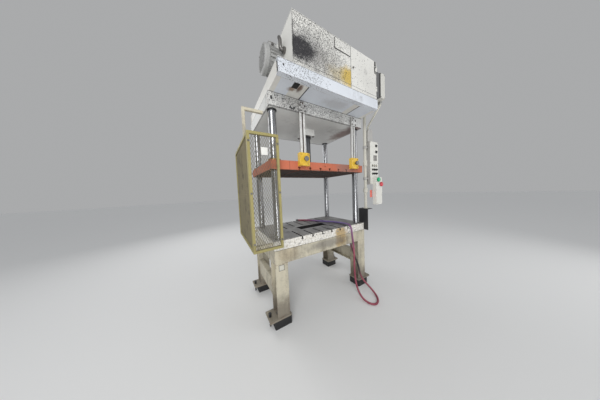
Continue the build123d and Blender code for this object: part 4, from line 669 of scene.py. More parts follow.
def paint_finishes():
    """Every painted finish of the press: the values that painted() takes."""
    c = colours()
    # Painted shadow line under the bed plate's edge
    bed_shadow_line = ("Z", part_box("bolster_plate")[0].z - BED_SHADOW_DROP, BED_SHADOW_WIDTH)
    soffit_lit_colour = tuple(min(SOFFIT_LIGHT_LIMIT, SOFFIT_LIGHT_GAIN * part) for part in c.white)
    return {
        "cream_paint": dict(
            colour=c.cream, grime=0.86, grime_scale=3.2, streaks=0.7, wear=0.8, wear_radius=0.008, chips=0.46,
            dirt=(0.14, 0.12, 0.095), patches=STAND_STAINS, seams_and_shadow_lines=[bed_shadow_line]),
        "white_paint": dict(
            colour=c.white, grime=0.72, grime_scale=3.0, streaks=0.6, wear=0.7, wear_radius=0.006, chips=0.36,
            dirt=(0.14, 0.13, 0.12), patches=CROWN_STAINS, seams_and_shadow_lines=CROWN_SEAMS, spatter=CROWN_SPATTER),
        "soffit_paint": dict(
            # Crown paint brightened: painted light on the crown's underside and the cylinder head
            colour=soffit_lit_colour, roughness=0.55, grime=0.46, grime_scale=2.4, streaks=0.0, wear=0.35, chips=0.14,
            dirt=(0.30, 0.29, 0.27), patches=CROWN_STAINS),
        "platform_paint": dict(
            colour=(0.76, 0.745, 0.70), grime=0.58, grime_scale=3.0, streaks=0.5, wear=0.6, wear_radius=0.006,
            chips=0.26, dirt=(0.26, 0.24, 0.22), patches=PLATFORM_STAINS),
        "tray_paint": dict(
            colour=(0.72, 0.755, 0.81), grime=0.50, grime_scale=2.4, streaks=0.0, wear=0.35, chips=0.14,
            dirt=(0.32, 0.32, 0.33), patches=PLATFORM_STAINS),
        "pale_blue_paint": dict(
            colour=c.lip, roughness=0.42, grime=0.62, grime_scale=3.5, streaks=0.4, wear=0.8,
            wear_radius=0.006, chips=0.30, dirt=(0.26, 0.26, 0.26), seams_and_shadow_lines=LIP_SEAMS, spatter=LIP_SPATTER),
        "tank_paint": dict(
            colour=c.tank, roughness=0.4, grime=0.24, grime_scale=2.6, streaks=0.6, wear=0.4, chips=0.05,
            patches=TANK_STAINS, soot=TANK_SOOT, seams_and_shadow_lines=TANK_SEAMS, spatter=TANK_SPATTER),
        "cabinet_paint": dict(
            colour=c.tank, roughness=0.4, grime=0.30, grime_scale=2.4, streaks=0.6, wear=0.35, chips=0.10,
            patches=CABINET_STAINS, seams_and_shadow_lines=CABINET_SEAMS, spatter=CABINET_SPATTER),
        "junction_paint": dict(
            colour=(0.15, 0.15, 0.15), grime=0.50, grime_scale=5.0, streaks=0.5, wear=0.6, chips=0.42,
            chip_colour=(0.44, 0.43, 0.40), split=JUNCTION_COVER, seams_and_shadow_lines=JUNCTION_SEAM),
        # White paint with painted shade in the lock bars' groove
        "lock_paint": dict(
            colour=c.white, grime=0.45, grime_scale=5.0, streaks=0.7, wear=0.7, chips=0.22,
            split=LOCK_GROOVE_SHADE, seams_and_shadow_lines=LOCK_SEAM),
        "black_paint": dict(
            colour=(0.025, 0.025, 0.027), grime=0.5, grime_scale=6.0, streaks=0.4, wear=0.6, chips=0.25,
            dirt=(0.12, 0.11, 0.10)),
        "mesh_paint": dict(
            colour=c.mesh, roughness=0.7, grime=0.7, grime_scale=9.0, streaks=0.3, wear=0.0,
            wear_radius=0.001, chips=0.3, chip_colour=(0.07, 0.06, 0.05), dirt=(0.05, 0.045, 0.04)),
        "salmon_paint": dict(
            colour=c.salmon, roughness=0.6, grime=0.62, grime_scale=4.2, streaks=0.25, wear=0.85,
            wear_radius=0.008, chips=0.42, chip_colour=BARE_STEEL, patches=PLATEN_PATCHES, seams_and_shadow_lines=PLATEN_SEAM,
            face_film=0.92),
        "yellow_paint": dict(
            colour=c.yellow, roughness=0.45, grime=0.52, grime_scale=11.0, streaks=0.4, wear=0.8,
            wear_radius=0.005, chips=0.30),
        "guard_paint": dict(
            colour=c.guard, roughness=0.62, grime=0.60, grime_scale=9.0, streaks=0.4, wear=0.7, chips=0.42,
            chip_colour=(0.40, 0.385, 0.32)),
        "grey_paint": dict(colour=c.grey, grime=0.72, grime_scale=5.0, streaks=0.5, wear=0.6, chips=0.26),
        "pole_paint": dict(
            colour=(0.66, 0.64, 0.56), grime=0.60, grime_scale=7.0, streaks=0.6, wear=0.5, wear_radius=0.003,
            chips=0.38, chip_colour=BARE_STEEL),
        # Station white; behind the panel the body is grey, as paint and as painted shade of its side
        "station_paint": dict(
            colour=(0.80, 0.79, 0.73), roughness=0.42, grime=0.58, grime_scale=6.0, streaks=0.6, wear=0.7,
            chips=0.26, dirt=(0.22, 0.20, 0.17), split=STATION_BODY_AND_SHADE),
    }


METAL_FINISHES = {
    "machined_steel": dict(colour=(0.30, 0.29, 0.29), roughness=0.42, stretch=(1, 0.06, 1),
                           scratch_scale=70.0, rust=0.26, oil=0.5),
    "chrome": dict(colour=(0.42, 0.425, 0.44), roughness=0.17, stretch=(1, 1, 0.03),
                   scratch_scale=120.0, oil=0.46, relief=0.02),
    "dark_steel": dict(colour=(0.10, 0.10, 0.105), roughness=0.42, scratch_scale=60.0, rust=0.22, oil=0.55),
    "bolt_steel": dict(colour=(0.26, 0.25, 0.24), roughness=0.36, scratch_scale=60.0, rust=0.3, oil=0.4),
    "bronze": dict(colour=(0.48, 0.31, 0.12), roughness=0.3, stretch=(1, 1, 0.1), oil=0.4),
    "ram_steel": dict(colour=(0.16, 0.165, 0.175), roughness=0.30, stretch=(1, 1, 0.04), oil=0.45),
    "conduit_zinc": dict(colour=(0.50, 0.50, 0.48), roughness=0.38, stretch=(1, 1, 0.2),
                         scratch_scale=40.0, rust=0.1),
}
MOULDED_FINISHES = {
    "black_rubber": dict(colour=(0.018, 0.018, 0.019), roughness=0.66, dust=0.55, grain_scale=140.0),
    "black_plastic": dict(colour=(0.018, 0.018, 0.020), roughness=0.42, dust=0.35),
    "green_plastic": dict(colour=(0.01, 0.45, 0.19), roughness=0.28, dust=0.16),
    "red_plastic": dict(colour=(0.66, 0.055, 0.075), roughness=0.28, dust=0.16),
    "tag_card": dict(colour=(0.84, 0.20, 0.155), roughness=0.6, dust=0.2),
    "clear_lens": dict(colour=(0.62, 0.60, 0.52), roughness=0.2),
}

# Parts whose finish isn't the one of their slot in the record
OWN_FINISHES = {
    "platform_soffits": "tray_paint",
    "platform_members": "platform_paint",
    "cabinet_body": "cabinet_paint",
    "cabinet_door": "cabinet_paint",
    # The crown plate and the cylinder head take the brightened crown paint, a painted light
    "crown_plate": "soffit_paint",
    "conduit_pole": "pole_paint",
    "cylinder_head": "soffit_paint",
    "control_box": "station_paint",
    "button_box": "station_paint",
    "bolster_plate": "bed_plate",
    "ram_rod": "ram_steel",
    "junction_box": "junction_paint",
    "lock_bars": "lock_paint",
    "conduit_bracket": "black_paint",
    "guard_front_mesh": "mesh_paint",
    "guard_side_mesh": "mesh_paint",
}
FINISHES = {}


def build_materials():
    """Fills FINISHES with every finish of the press, by name."""
    for build, table in ((painted, paint_finishes()), (bare_metal, METAL_FINISHES),
                         (moulded, MOULDED_FINISHES)):
        for name, values in table.items():
            FINISHES[name] = build(name, **values)
    FINISHES["bed_plate"] = bed_plate_finish()
    FINISHES["hose_rubber"] = hose_finish()


# ---- Mesh building blocks -------------------------------------------------------------------

UP, DOWN = (0, 0, 1), (0, 0, -1)
FRONT, BACK = (0, -1, 0), (0, 1, 0)
LEFT, RIGHT = (-1, 0, 0), (1, 0, 0)

# Sides of the round pieces
WASHER_SIDES, SCREW_SIDES, KNOB_SIDES, WELD_SIDES = 20, 16, 28, 7
# How far a washer sinks into its surface
WASHER_SINK = 0.001
# Shares of a bolt's width across flats
WASHER_HEIGHT, WASHER_RADIUS, HEAD_HEIGHT, HEAD_CHAMFER = 0.10, 0.95, 0.55, 0.06
# Shares of a socket screw's diameter
SCREW_HEIGHT, SOCKET_RIM, SOCKET_DEPTH = 0.6, 0.2, 0.35
# A knob's top radius as a share of its diameter, its rim as a share of its height
KNOB_TOP, KNOB_RIM = 0.46, 0.25
# Radii of a weld's hollows and ripples as shares of its leg
WELD_HOLLOW, WELD_CREST = 0.5, 0.62
# Steps of a pipe's bend, and the share of a straight part that one bend may take
BEND_STEPS, BEND_SHARE = 6, 0.48


def circle(count, offset=0.5):
    """Cosine and sine of evenly spaced turns; the offset is in steps."""
    for i in range(count):
        turn = math.tau * (i + offset) / count
        yield math.cos(turn), math.sin(turn)


def corners(low, high, inset):
    """The four corners of a rectangle, each moved inwards."""
    return product((low[0] + inset[0], high[0] - inset[0]), (low[1] + inset[1], high[1] - inset[1]))


def to_place(at=(0, 0, 0), direction=UP):
    """Turns +Z to a direction and moves to a place."""
    turn = Vector(direction).to_track_quat("Z", "Y").to_matrix().to_4x4()
    return Matrix.Translation(at) @ turn


def edges_of(verts):
    """The edges of some vertices, in the same order in every run."""
    return list(dict.fromkeys(e for v in verts for e in v.link_edges))


def ring_edges(verts):
    """The edges that lie between some vertices."""
    inside = set(verts)
    return [e for e in edges_of(verts) if e.verts[0] in inside and e.verts[1] in inside]


def end_face(bm, before, place):
    """The face nearest to a place, of those made since."""
    made = [face for face in bm.faces if face not in before]
    return min(made, key=lambda face: (face.calc_center_median() - place).length)


def round_edges(bm, edges, offset, segments):
    """Bevels edges, two segments or more making them round."""
    bmesh.ops.bevel(bm, geom=list(edges), offset=offset, segments=segments, profile=0.5,
                    affect="EDGES", material=-1, clamp_overlap=True)


def add_box(bm, low, high, bevel=0.0):
    low, high = Vector(low), Vector(high)
    made = bmesh.ops.create_cube(bm, size=1.0, matrix=Matrix.Translation((low + high) / 2)
                                 @ Matrix.Diagonal((*(high - low), 1)))
    if bevel:
        round_edges(bm, edges_of(made["verts"]), bevel, 2)


def add_rod(bm, start, end, radius, sides=24, end_radius=None):
    start, end = Vector(start), Vector(end)
    place = to_place((start + end) / 2, end - start)
    bmesh.ops.create_cone(bm, cap_ends=True, segments=sides, radius1=radius,
                          radius2=radius if end_radius is None else end_radius,
                          depth=(end - start).length, matrix=place)


def add_bolt(bm, at, direction, flats, washer=True):
    """Hexagon head, on a washer where one is wanted; at is on the surface."""
    at, direction = Vector(at), Vector(direction).normalized()
    base = at
    if washer:
        base = at + direction * flats * WASHER_HEIGHT
        add_rod(bm, at - direction * WASHER_SINK, base, flats * WASHER_RADIUS, sides=WASHER_SIDES)
    top = base + direction * flats * HEAD_HEIGHT
    before = set(bm.faces)
    add_rod(bm, base, top, flats / math.sqrt(3), sides=6)
    round_edges(bm, end_face(bm, before, top).edges, flats * HEAD_CHAMFER, 1)


def add_socket_screw(bm, at, direction, diameter):
    """Cylindrical screw head with a recess."""
    direction = Vector(direction).normalized()
    top = Vector(at) + direction * diameter * SCREW_HEIGHT
    before = set(bm.faces)
    add_rod(bm, at, top, diameter / 2, sides=SCREW_SIDES)
    cap = end_face(bm, before, top)
    bmesh.ops.inset_individual(bm, faces=[cap], thickness=diameter * SOCKET_RIM)
    bmesh.ops.translate(bm, verts=cap.verts, vec=-direction * diameter * SOCKET_DEPTH)


def add_knob(bm, at, direction, diameter, height):
    """Round knob with a rounded rim."""
    top = Vector(at) + Vector(direction).normalized() * height
    before = set(bm.faces)
    add_rod(bm, at, top, diameter / 2, sides=KNOB_SIDES, end_radius=diameter * KNOB_TOP)
    round_edges(bm, end_face(bm, before, top).edges, height * KNOB_RIM, 3)


def add_ring(bm, at, direction, inner, outer, height):
    """A flat collar that rises from a surface."""
    place = to_place(at, direction)
    edges = []
    for radius in (outer, inner):
        made = bmesh.ops.create_circle(bm, cap_ends=False, segments=sizes().ring_sides, radius=radius,
                                       matrix=place)
        edges += ring_edges(made["verts"])
    faces = bmesh.ops.bridge_loops(bm, edges=edges)["faces"]
    raised = bmesh.ops.extrude_face_region(bm, geom=faces)["geom"]
    top = [v for v in raised if isinstance(v, bmesh.types.BMVert)]
    bmesh.ops.translate(bm, verts=top, vec=Vector(direction).normalized() * height)


def bridge_rings(bm, rings):
    """Joins circles, each given by sides, radius and matrix, into one closed skin."""
    before = None
    for i, (sides, radius, place) in enumerate(rings):
        ring = bmesh.ops.create_circle(bm, cap_ends=i in (0, len(rings) - 1), segments=sides,
                                       radius=radius, matrix=place)["verts"]
        if before is not None:
            bmesh.ops.bridge_loops(bm, edges=ring_edges(before) + ring_edges(ring))
        before = ring


def add_pipe(bm, points, radius, sides=12, bend=0.06):
    """A rigid pipe along corners, with rounded bends."""
    path = [Vector(p) for p in points]
    line = [path[0]]
    for before, corner, after in zip(path, path[1:], path[2:]):
        to_before = (before - corner).normalized()
        to_after = (after - corner).normalized()
        reach = min(bend, (before - corner).length * BEND_SHARE, (after - corner).length * BEND_SHARE)
        for i in range(BEND_STEPS + 1):
            t = i / BEND_STEPS
            a = corner + to_before * reach * (1 - t)
            b = corner + to_after * reach * t
            line.append(a.lerp(b, t))
    line.append(path[-1])
    rings = []
    side = None
    for i, point in enumerate(line):
        ahead = (line[min(i + 1, len(line) - 1)] - line[max(i - 1, 0)]).normalized()
        if side is None:
            side = ahead.orthogonal().normalized()
        side = (side - ahead * side.dot(ahead)).normalized()
        turn = Matrix((side, ahead.cross(side), ahead)).transposed().to_4x4()
        rings.append((sides, radius, Matrix.Translation(point) @ turn))
    bridge_rings(bm, rings)


def add_weld(bm, start, end, leg):
    """Rippled bead of weld along a straight joint."""
    start, end = Vector(start), Vector(end)
    steps = max(2, int((end - start).length / sizes().weld_ripple))
    turn = to_place((0, 0, 0), end - start)
    rings = []
    for i in range(steps + 1):
        radius = leg * (WELD_HOLLOW if i % 2 else WELD_CREST)
        rings.append((WELD_SIDES, radius, Matrix.Translation(start.lerp(end, i / steps)) @ turn))
    bridge_rings(bm, rings)


def make_piece(name, bm, material, body, smooth=True):
    """Turns a bmesh into a finished object at the origin that rides on a body."""
    bmesh.ops.recalc_face_normals(bm, faces=bm.faces)
    for face in bm.faces:
        face.smooth = smooth
    for edge in bm.edges:
        if len(edge.link_faces) == 2 and edge.calc_face_angle(0) > SHARP_ANGLE:
            edge.smooth = False
    mesh = bpy.data.meshes.new(name)
    bm.to_mesh(mesh)
    bm.free()
    obj = bpy.data.objects.new(name, mesh)
    bpy.context.scene.collection.objects.link(obj)
    mesh.materials.append(FINISHES[material])
    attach(obj, body)
    return obj


# ---- Operators ------------------------------------------------------------------------------

class PRESS_OT_finishes(bpy.types.Operator):
    """Builds the finishes and gives one to every carried-over part"""

    bl_idname = "press.finishes"
    bl_label = "Apply Finishes"

    def execute(self, context):
        build_groups()
        build_materials()
        for part in frame["record"]["subparts"]:
            name = part["node"]
            materials = NODES[name].data.materials
            materials.clear()
            materials.append(FINISHES[OWN_FINISHES.get(name, part["material_slot"])])
        return {"FINISHED"}


def guard_mesh(name, node, normal_axis):
    """Expanded diamond mesh that fills the same panel as the carried-over one."""
    low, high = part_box(node)
    s = sizes()
    middle = (low + high) / 2
    width = (high.y - low.y) if normal_axis == "x" else (high.x - low.x)
    height = high.z - low.z
    cells = int(width / s.mesh_width + height / s.mesh_height) + 2
    bm = bmesh.new()
    bmesh.ops.create_grid(bm, x_segments=cells, y_segments=cells, size=cells / 2)
    bmesh.ops.rotate(bm, verts=bm.verts, cent=(0, 0, 0), matrix=Matrix.Rotation(math.pi / 4, 3, "Z"))
    diagonal = math.sqrt(2)
    bmesh.ops.scale(bm, verts=bm.verts, vec=(s.mesh_width / diagonal, s.mesh_height / diagonal, 1))
    for axis, half in ((Vector((1, 0, 0)), width / 2), (Vector((0, 1, 0)), height / 2)):
        for sign in (-1, 1):
            bmesh.ops.bisect_plane(bm, geom=bm.verts[:] + bm.edges[:] + bm.faces[:], dist=1e-6,
                                   plane_co=axis * half * sign, plane_no=axis * sign, clear_outer=True)
    bmesh.ops.wireframe(bm, faces=bm.faces, thickness=s.mesh_strand, offset=0, use_replace=True,
                        use_boundary=True, use_even_offset=False, use_relative_offset=False)
    turn = Matrix.Rotation(math.pi / 2, 4, "X")
    if normal_axis == "x":
        turn = Matrix.Rotation(math.pi / 2, 4, "Z") @ turn
    bmesh.ops.transform(bm, matrix=Matrix.Translation(middle) @ turn, verts=bm.verts)
    obj = make_piece(name, bm, "mesh_paint", FRAME_BODY, smooth=False)
    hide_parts(node)


class PRESS_OT_guard_mesh(bpy.types.Operator):
    """Weaves the fine expanded mesh of both guard panels"""

    bl_idname = "press.guard_mesh"
    bl_label = "Guard Mesh"

    def execute(self, context):
        guard_mesh("guard_front_weave", "guard_front_mesh", "y")
        guard_mesh("guard_side_weave", "guard_side_mesh", "x")
        return {"FINISHED"}


# The hose's route from its end on the bed to its end under the bed
HOSE_POINTS = [
    (0.020, 0.395, 0.980), (0.110, 0.340, 0.979), (0.190, 0.210, 0.979), (0.280, 0.060, 0.979),
    (0.375, -0.080, 0.979), (0.432, -0.210, 0.979), (0.430, -0.330, 0.982), (0.412, -0.420, 0.992),
    (0.402, -0.474, 0.950), (0.404, -0.482, 0.855), (0.424, -0.484, 0.720), (0.432, -0.490, 0.560),
    (0.416, -0.500, 0.400), (0.402, -0.520, 0.250), (0.400, -0.550, 0.120), (0.400, -0.600, 0.040),
    (0.385, -0.680, 0.015), (0.395, -0.765, 0.014), (0.450, -0.806, 0.014), (0.525, -0.785, 0.014),
    (0.590, -0.725, 0.014), (0.628, -0.650, 0.022), (0.618, -0.585, 0.070), (0.575, -0.530, 0.140),
    (0.545, -0.490, 0.230), (0.552, -0.462, 0.340), (0.535, -0.425, 0.450), (0.520, -0.385, 0.560),
    (0.515, -0.355, 0.650)]


class PRESS_OT_hose(bpy.types.Operator):
    """Lays the hose over the bed edge and in its loop on the floor"""

    bl_idname = "press.hose"
    bl_label = "Floor Hose"

    def execute(self, context):
        curve = bpy.data.curves.new("bed_hose", "CURVE")
        curve.dimensions = "3D"
        spline = curve.splines.new("NURBS")
        spline.points.add(len(HOSE_POINTS) - 1)
        for point, place in zip(spline.points, HOSE_POINTS):
            point.co = (*place, 1)
        spline.order_u = 3
        spline.use_endpoint_u = True
        spline.resolution_u = 8
        curve.bevel_depth = sizes().hose_diameter / 2
        curve.bevel_resolution = 5
        curve.use_fill_caps = True
        curve.materials.append(FINISHES["hose_rubber"])
        obj = bpy.data.objects.new("bed_hose", curve)
        context.scene.collection.objects.link(obj)
        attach(obj, FRAME_BODY)
        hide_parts("floor_hose")
        return {"FINISHED"}


# Stand: beads as shares of the weld size, and the blank plate on a leg
FOOT_BEAD_LIFT = 0.15
APRON_BEAD = 0.6
RAIL_BEAD = 0.7
LEG_PLATE_PLACE = (0.044, 0.638)
LEG_PLATE_SIDE = 0.056
# The black border around the leg plate: painted shadow at its edges
LEG_PLATE_SHADOW_BORDER = 0.0045
SHADOW_BORDER_RISE, LEG_PLATE_RISE, RIVET_RISE = 0.0008, 0.0015, 0.0025
LEG_RIVET_INSET = (0.005, 0.005)
LEG_RIVET_RADIUS = 0.0022


class PRESS_OT_stand_details(bpy.types.Operator):
    """Adds anchor bolts, weld beads and the plate on a leg"""

    bl_idname = "press.stand_details"
    bl_label = "Stand Details"

    def execute(self, context):
        leg = sizes().weld_leg
        bed_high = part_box("bolster_plate")[1]
        apron_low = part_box("front_apron")[0]
        rail_low, rail_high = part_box("side_rails")
        beads = bmesh.new()
        bolts = bmesh.new()
        for sy, sx in product((-1, 1), (-1, 1)):
            x_out, y_out = sx * bed_high.x, sy * bed_high.y
            x_in, y_in = x_out - sx * LEG_SIZE[0], y_out - sy * LEG_SIZE[1]
            for y, away in ((y_out, sy), (y_in, -sy)):
                bead_y = y + away * leg * FOOT_BEAD_LIFT
                add_weld(beads, (x_in, bead_y, FOOT_PLATE_TOP), (x_out, bead_y, FOOT_PLATE_TOP), leg)
            add_weld(beads, (x_in, y_out, apron_low.z), (x_out, y_out, apron_low.z), leg * APRON_BEAD)
            rail_y = sy * rail_high.y
            add_weld(beads, (x_out, rail_y, rail_low.z), (x_out, rail_y, rail_high.z), leg * RAIL_BEAD)
            anchor = (x_out - sx * ANCHOR_INSET[0], y_out - sy * ANCHOR_INSET[1], FOOT_PLATE_TOP)
            add_bolt(bolts, anchor, UP, ANCHOR_FLATS)
        make_piece("stand_welds", beads, "cream_paint", FRAME_BODY)
        make_piece("anchor_bolts", bolts, "bolt_steel", FRAME_BODY)

        face = -bed_high.y
        left, bottom = LEG_PLATE_PLACE[0] - bed_high.x, LEG_PLATE_PLACE[1]
        right, top = left + LEG_PLATE_SIDE, bottom + LEG_PLATE_SIDE
        # Black border around the plate: painted shadow of its edges
        edge = bmesh.new()
        add_box(edge, (left - LEG_PLATE_SHADOW_BORDER, face - SHADOW_BORDER_RISE, bottom - LEG_PLATE_SHADOW_BORDER),
                (right + LEG_PLATE_SHADOW_BORDER, face, top + LEG_PLATE_SHADOW_BORDER), bevel=0.0003)
        make_piece("leg_plate_shadow_edge", edge, "black_plastic", FRAME_BODY)
        plate = bmesh.new()
        add_box(plate, (left, face - LEG_PLATE_RISE, bottom), (right, face, top), bevel=0.0006)
        for x, z in corners((left, bottom), (right, top), LEG_RIVET_INSET):
            add_rod(plate, (x, face - RIVET_RISE, z), (x, face, z), LEG_RIVET_RADIUS, sides=10)
        make_piece("leg_plate", plate, "pole_paint", FRAME_BODY)
        return {"FINISHED"}


# Crown: beads as shares of the weld size, places from the beam's lower left corner,
# rims as inner radius, outer radius and height
CROWN_END_BEAD, CROWN_TOP_BEAD, CROWN_TOP_LIFT = 0.7, 0.6, 0.1
LIFTING_SLOT_PLACE = (0.030, 0.075)
LIFTING_SLOT_RIM = (0.011, 0.019, 0.003)
LIFTING_SLOT_RADIUS = 0.0112
LIFTING_SLOT_STRETCH = 1.9
LIP_HOLE_PLACE = (0.050, 0.072)
LIP_HOLE_RIM = (0.0075, 0.0115, 0.0012)
LIP_HOLE_RADIUS = 0.0076
LOOP_XS = (-0.470, -0.425)
LOOP_HIGH, LOOP_LOW, LOOP_REACH = 0.030, 0.006, 0.020
LOOP_RADIUS, LOOP_BEND = 0.005, 0.012
BAR_HEAD_HALF = 0.046
BAR_HEAD_DEPTHS = (0.036, 0.0245)
BAR_HEAD_RISES = (-0.012, 0.076)
BAR_BOLT_HALF = 0.032
BAR_BOLT_RISES = (0.004, 0.060)
BAR_BOLT_FLATS = 0.012
BAR_FLAT_SPAN = (0.008, 0.0268)
BAR_FLAT_DEPTHS = (0.0239, 0.0185)
BAR_FLAT_GAP = 0.013
COLUMN_COLLAR = (0.0431, 0.0515, 0.012)


class PRESS_OT_crown_details(bpy.types.Operator):
    """Adds the crown's welds, lifting loop, slot rim, bar heads and column collars"""

    bl_idname = "press.crown_details"
    bl_label = "Crown Details"

    def execute(self, context):
        low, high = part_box("crown_front_beam")
        front = low.y
        leg = sizes().weld_leg
        beads = bmesh.new()
        for sx, y in product((-1, 1), (front + BEAM_PLATE, -front - BEAM_PLATE)):
            add_weld(beads, (sx * high.x, y, low.z), (sx * high.x, y, high.z), leg * CROWN_END_BEAD)
        top_y = front + leg * CROWN_TOP_LIFT
        add_weld(beads, (low.x, top_y, high.z), (high.x, top_y, high.z), leg * CROWN_TOP_BEAD)
        make_piece("crown_welds", beads, "white_paint", FRAME_BODY)

        slot = Vector((low.x + LIFTING_SLOT_PLACE[0], front, low.z + LIFTING_SLOT_PLACE[1]))
        stretch = {"vec": (1, 1, LIFTING_SLOT_STRETCH), "space": Matrix.Translation((0, 0, -slot.z))}
        rim = bmesh.new()
        add_ring(rim, slot, FRONT, *LIFTING_SLOT_RIM)
        bmesh.ops.scale(rim, verts=rim.verts, **stretch)
        make_piece("lifting_slot_rim", rim, "white_paint", FRAME_BODY)
        hole = bmesh.new()
        add_rod(hole, slot + Vector((0, -0.001, 0)), slot, LIFTING_SLOT_RADIUS, sides=28)
        bmesh.ops.scale(hole, verts=hole.verts, **stretch)
        make_piece("lifting_slot_shade", hole, "black_paint", FRAME_BODY)

        lip_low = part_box("platform_front_channel")[0]
        knock_out = Vector((lip_low.x + LIP_HOLE_PLACE[0], lip_low.y, lip_low.z + LIP_HOLE_PLACE[1]))
        lip_rim = bmesh.new()
        add_ring(lip_rim, knock_out, FRONT, *LIP_HOLE_RIM)
        make_piece("lip_hole_rim", lip_rim, "pale_blue_paint", FRAME_BODY)
        lip_shade = bmesh.new()
        add_rod(lip_shade, knock_out + Vector((0, -0.0006, 0)), knock_out + Vector((0, 0.001, 0)),
                LIP_HOLE_RADIUS, sides=24)
        make_piece("lip_hole_shade", lip_shade, "black_paint", FRAME_BODY)

        loop = bmesh.new()
        loop_left, loop_right = LOOP_XS
        high_z, low_z = low.z + LOOP_HIGH, low.z + LOOP_LOW
        inside, outside = front - 0.001, front - LOOP_REACH
        add_pipe(loop, [(loop_left, inside, high_z), (loop_left, outside, high_z),
                        (loop_left, outside, low_z), (loop_right, outside, low_z),
                        (loop_right, outside, high_z), (loop_right, inside, high_z)],
                 LOOP_RADIUS, sides=10, bend=LOOP_BEND)
        make_piece("lifting_loop", loop, "black_paint", FRAME_BODY)

        heads = bmesh.new()
        flats = bmesh.new()
        bolts = bmesh.new()
        for x in LOCK_XS:
            add_box(heads, (x - BAR_HEAD_HALF, front - BAR_HEAD_DEPTHS[0], low.z + BAR_HEAD_RISES[0]),
                    (x + BAR_HEAD_HALF, front - BAR_HEAD_DEPTHS[1], low.z + BAR_HEAD_RISES[1]), bevel=0.002)
            for dx, rise in product((-BAR_BOLT_HALF, BAR_BOLT_HALF), BAR_BOLT_RISES):
                add_bolt(bolts, (x + dx, front - BAR_HEAD_DEPTHS[0], low.z + rise), FRONT, BAR_BOLT_FLATS)
            for side in (-1, 1):
                left, right = sorted((x + side * BAR_FLAT_SPAN[0], x + side * BAR_FLAT_SPAN[1]))
                add_box(flats, (left, front - BAR_FLAT_DEPTHS[0], LOCK_FLAT_BOTTOM),
                        (right, front - BAR_FLAT_DEPTHS[1], low.z - BAR_FLAT_GAP), bevel=0.0008)
        make_piece("lock_bar_heads", heads, "white_paint", FRAME_BODY)
        make_piece("lock_bar_flats", flats, "white_paint", FRAME_BODY)
        make_piece("lock_bar_bolts", bolts, "bolt_steel", FRAME_BODY)

        collars = bmesh.new()
        for x, y in COLUMNS:
            add_ring(collars, (x, y, low.z), DOWN, *COLUMN_COLLAR)
        make_piece("column_collars", collars, "dark_steel", FRAME_BODY)
        return {"FINISHED"}


# Platform: the gaps of its underside, the narrow slot and its cover, and the black strips and sheet that
# paint the shade of the gaps and of the slot's open end
SOFFIT_GAPS = (-0.354, 0.403)
SOFFIT_GAP_HALF = 0.006
GAP_SHADE_DROP, COVER_DROP = 0.0008, 0.0004
SOFFIT_SLOT = (-0.516, -0.450)
SLOT_OPEN_DEPTH = 0.085
COVER_SCREW_INSET = (0.015, 0.010)
COVER_SCREW = 0.006
SHADE_SHEET_LAP = (0.008, 0.006)


class PRESS_OT_platform_details(bpy.types.Operator):
    """Fills the gaps in the platform's underside with black strips and the slot's open end with a black
    sheet, both painted shade, and closes the rest of the slot with a cover
    """

    bl_idname = "press.platform_details"
    bl_label = "Platform Details"

    def execute(self, context):
        low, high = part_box("platform_soffits")
        sheet = high.z - low.z
        seals = bmesh.new()
        # Black strips in the gaps: painted shade of the gaps
        for x in SOFFIT_GAPS:
            add_box(seals, (x - SOFFIT_GAP_HALF, low.y, low.z + GAP_SHADE_DROP),
                    (x + SOFFIT_GAP_HALF, high.y, high.z), bevel=0.0006)
        make_piece("soffit_gap_shade", seals, "black_rubber", FRAME_BODY)

        left, right = SOFFIT_SLOT
        step = low.y + SLOT_OPEN_DEPTH
        cover_z = low.z + COVER_DROP
        cover = bmesh.new()
        add_box(cover, (left, step, cover_z), (right, high.y, high.z), bevel=0.0006)
        for y, x in corners((step, left), (high.y, right), COVER_SCREW_INSET):
            add_socket_screw(cover, (x, y, cover_z), DOWN, COVER_SCREW)
        make_piece("slot_cover", cover, "platform_paint", FRAME_BODY)
        # A black sheet above the slot's open end: painted shade inside the slot
        shade_sheet = bmesh.new()
        add_box(shade_sheet, (left - SHADE_SHEET_LAP[0], low.y, high.z),
                (right, step + SHADE_SHEET_LAP[1], high.z + sheet), bevel=0.001)
        make_piece("slot_shade_sheet", shade_sheet, "black_rubber", FRAME_BODY)
        return {"FINISHED"}


# Main cylinder: bolt circles as radius and size; oil pipes and their nuts; the valve block
CAP_BOLTS = (0.082, 0.017)
GLAND_SCREWS = (0.0695, 0.009)
HEAD_BOLTS = (0.078, 0.022)
PIPE_SIDES, PIPE_BEND = 14, 0.045
LINE_RISE, UPPER_LINE_RISE = 0.060, 0.15
PORT_REACH = 0.070
CYLINDER_LINE_X, RETURN_X, UPPER_X, UPPER_END_X = 0.080, 0.172, 0.120, 0.235
UPPER_TURN_Y = -0.075
NUT_LENGTHS = (0.016, 0.030)
NUT_OVERLAP = 0.002
NUT_SIZES = (1.75, 1.45)
VALVE_XS = (0.205, 0.315)
VALVE_SCREW_HALF = (0.026, 0.048)
VALVE_SCREW = 0.010
END_CAP_DROP, END_CAP_FLATS = 0.035, 0.020
COIL_PLUG_BACK, COIL_PLUG_DEPTH, COIL_PLUG_HALF = 0.055, 0.030, 0.016
COIL_PLUG_RISES = (-0.010, 0.026)
PORT_PLUG_XS = (0.185, 0.240, 0.335)
PORT_PLUG_FLATS = 0.022


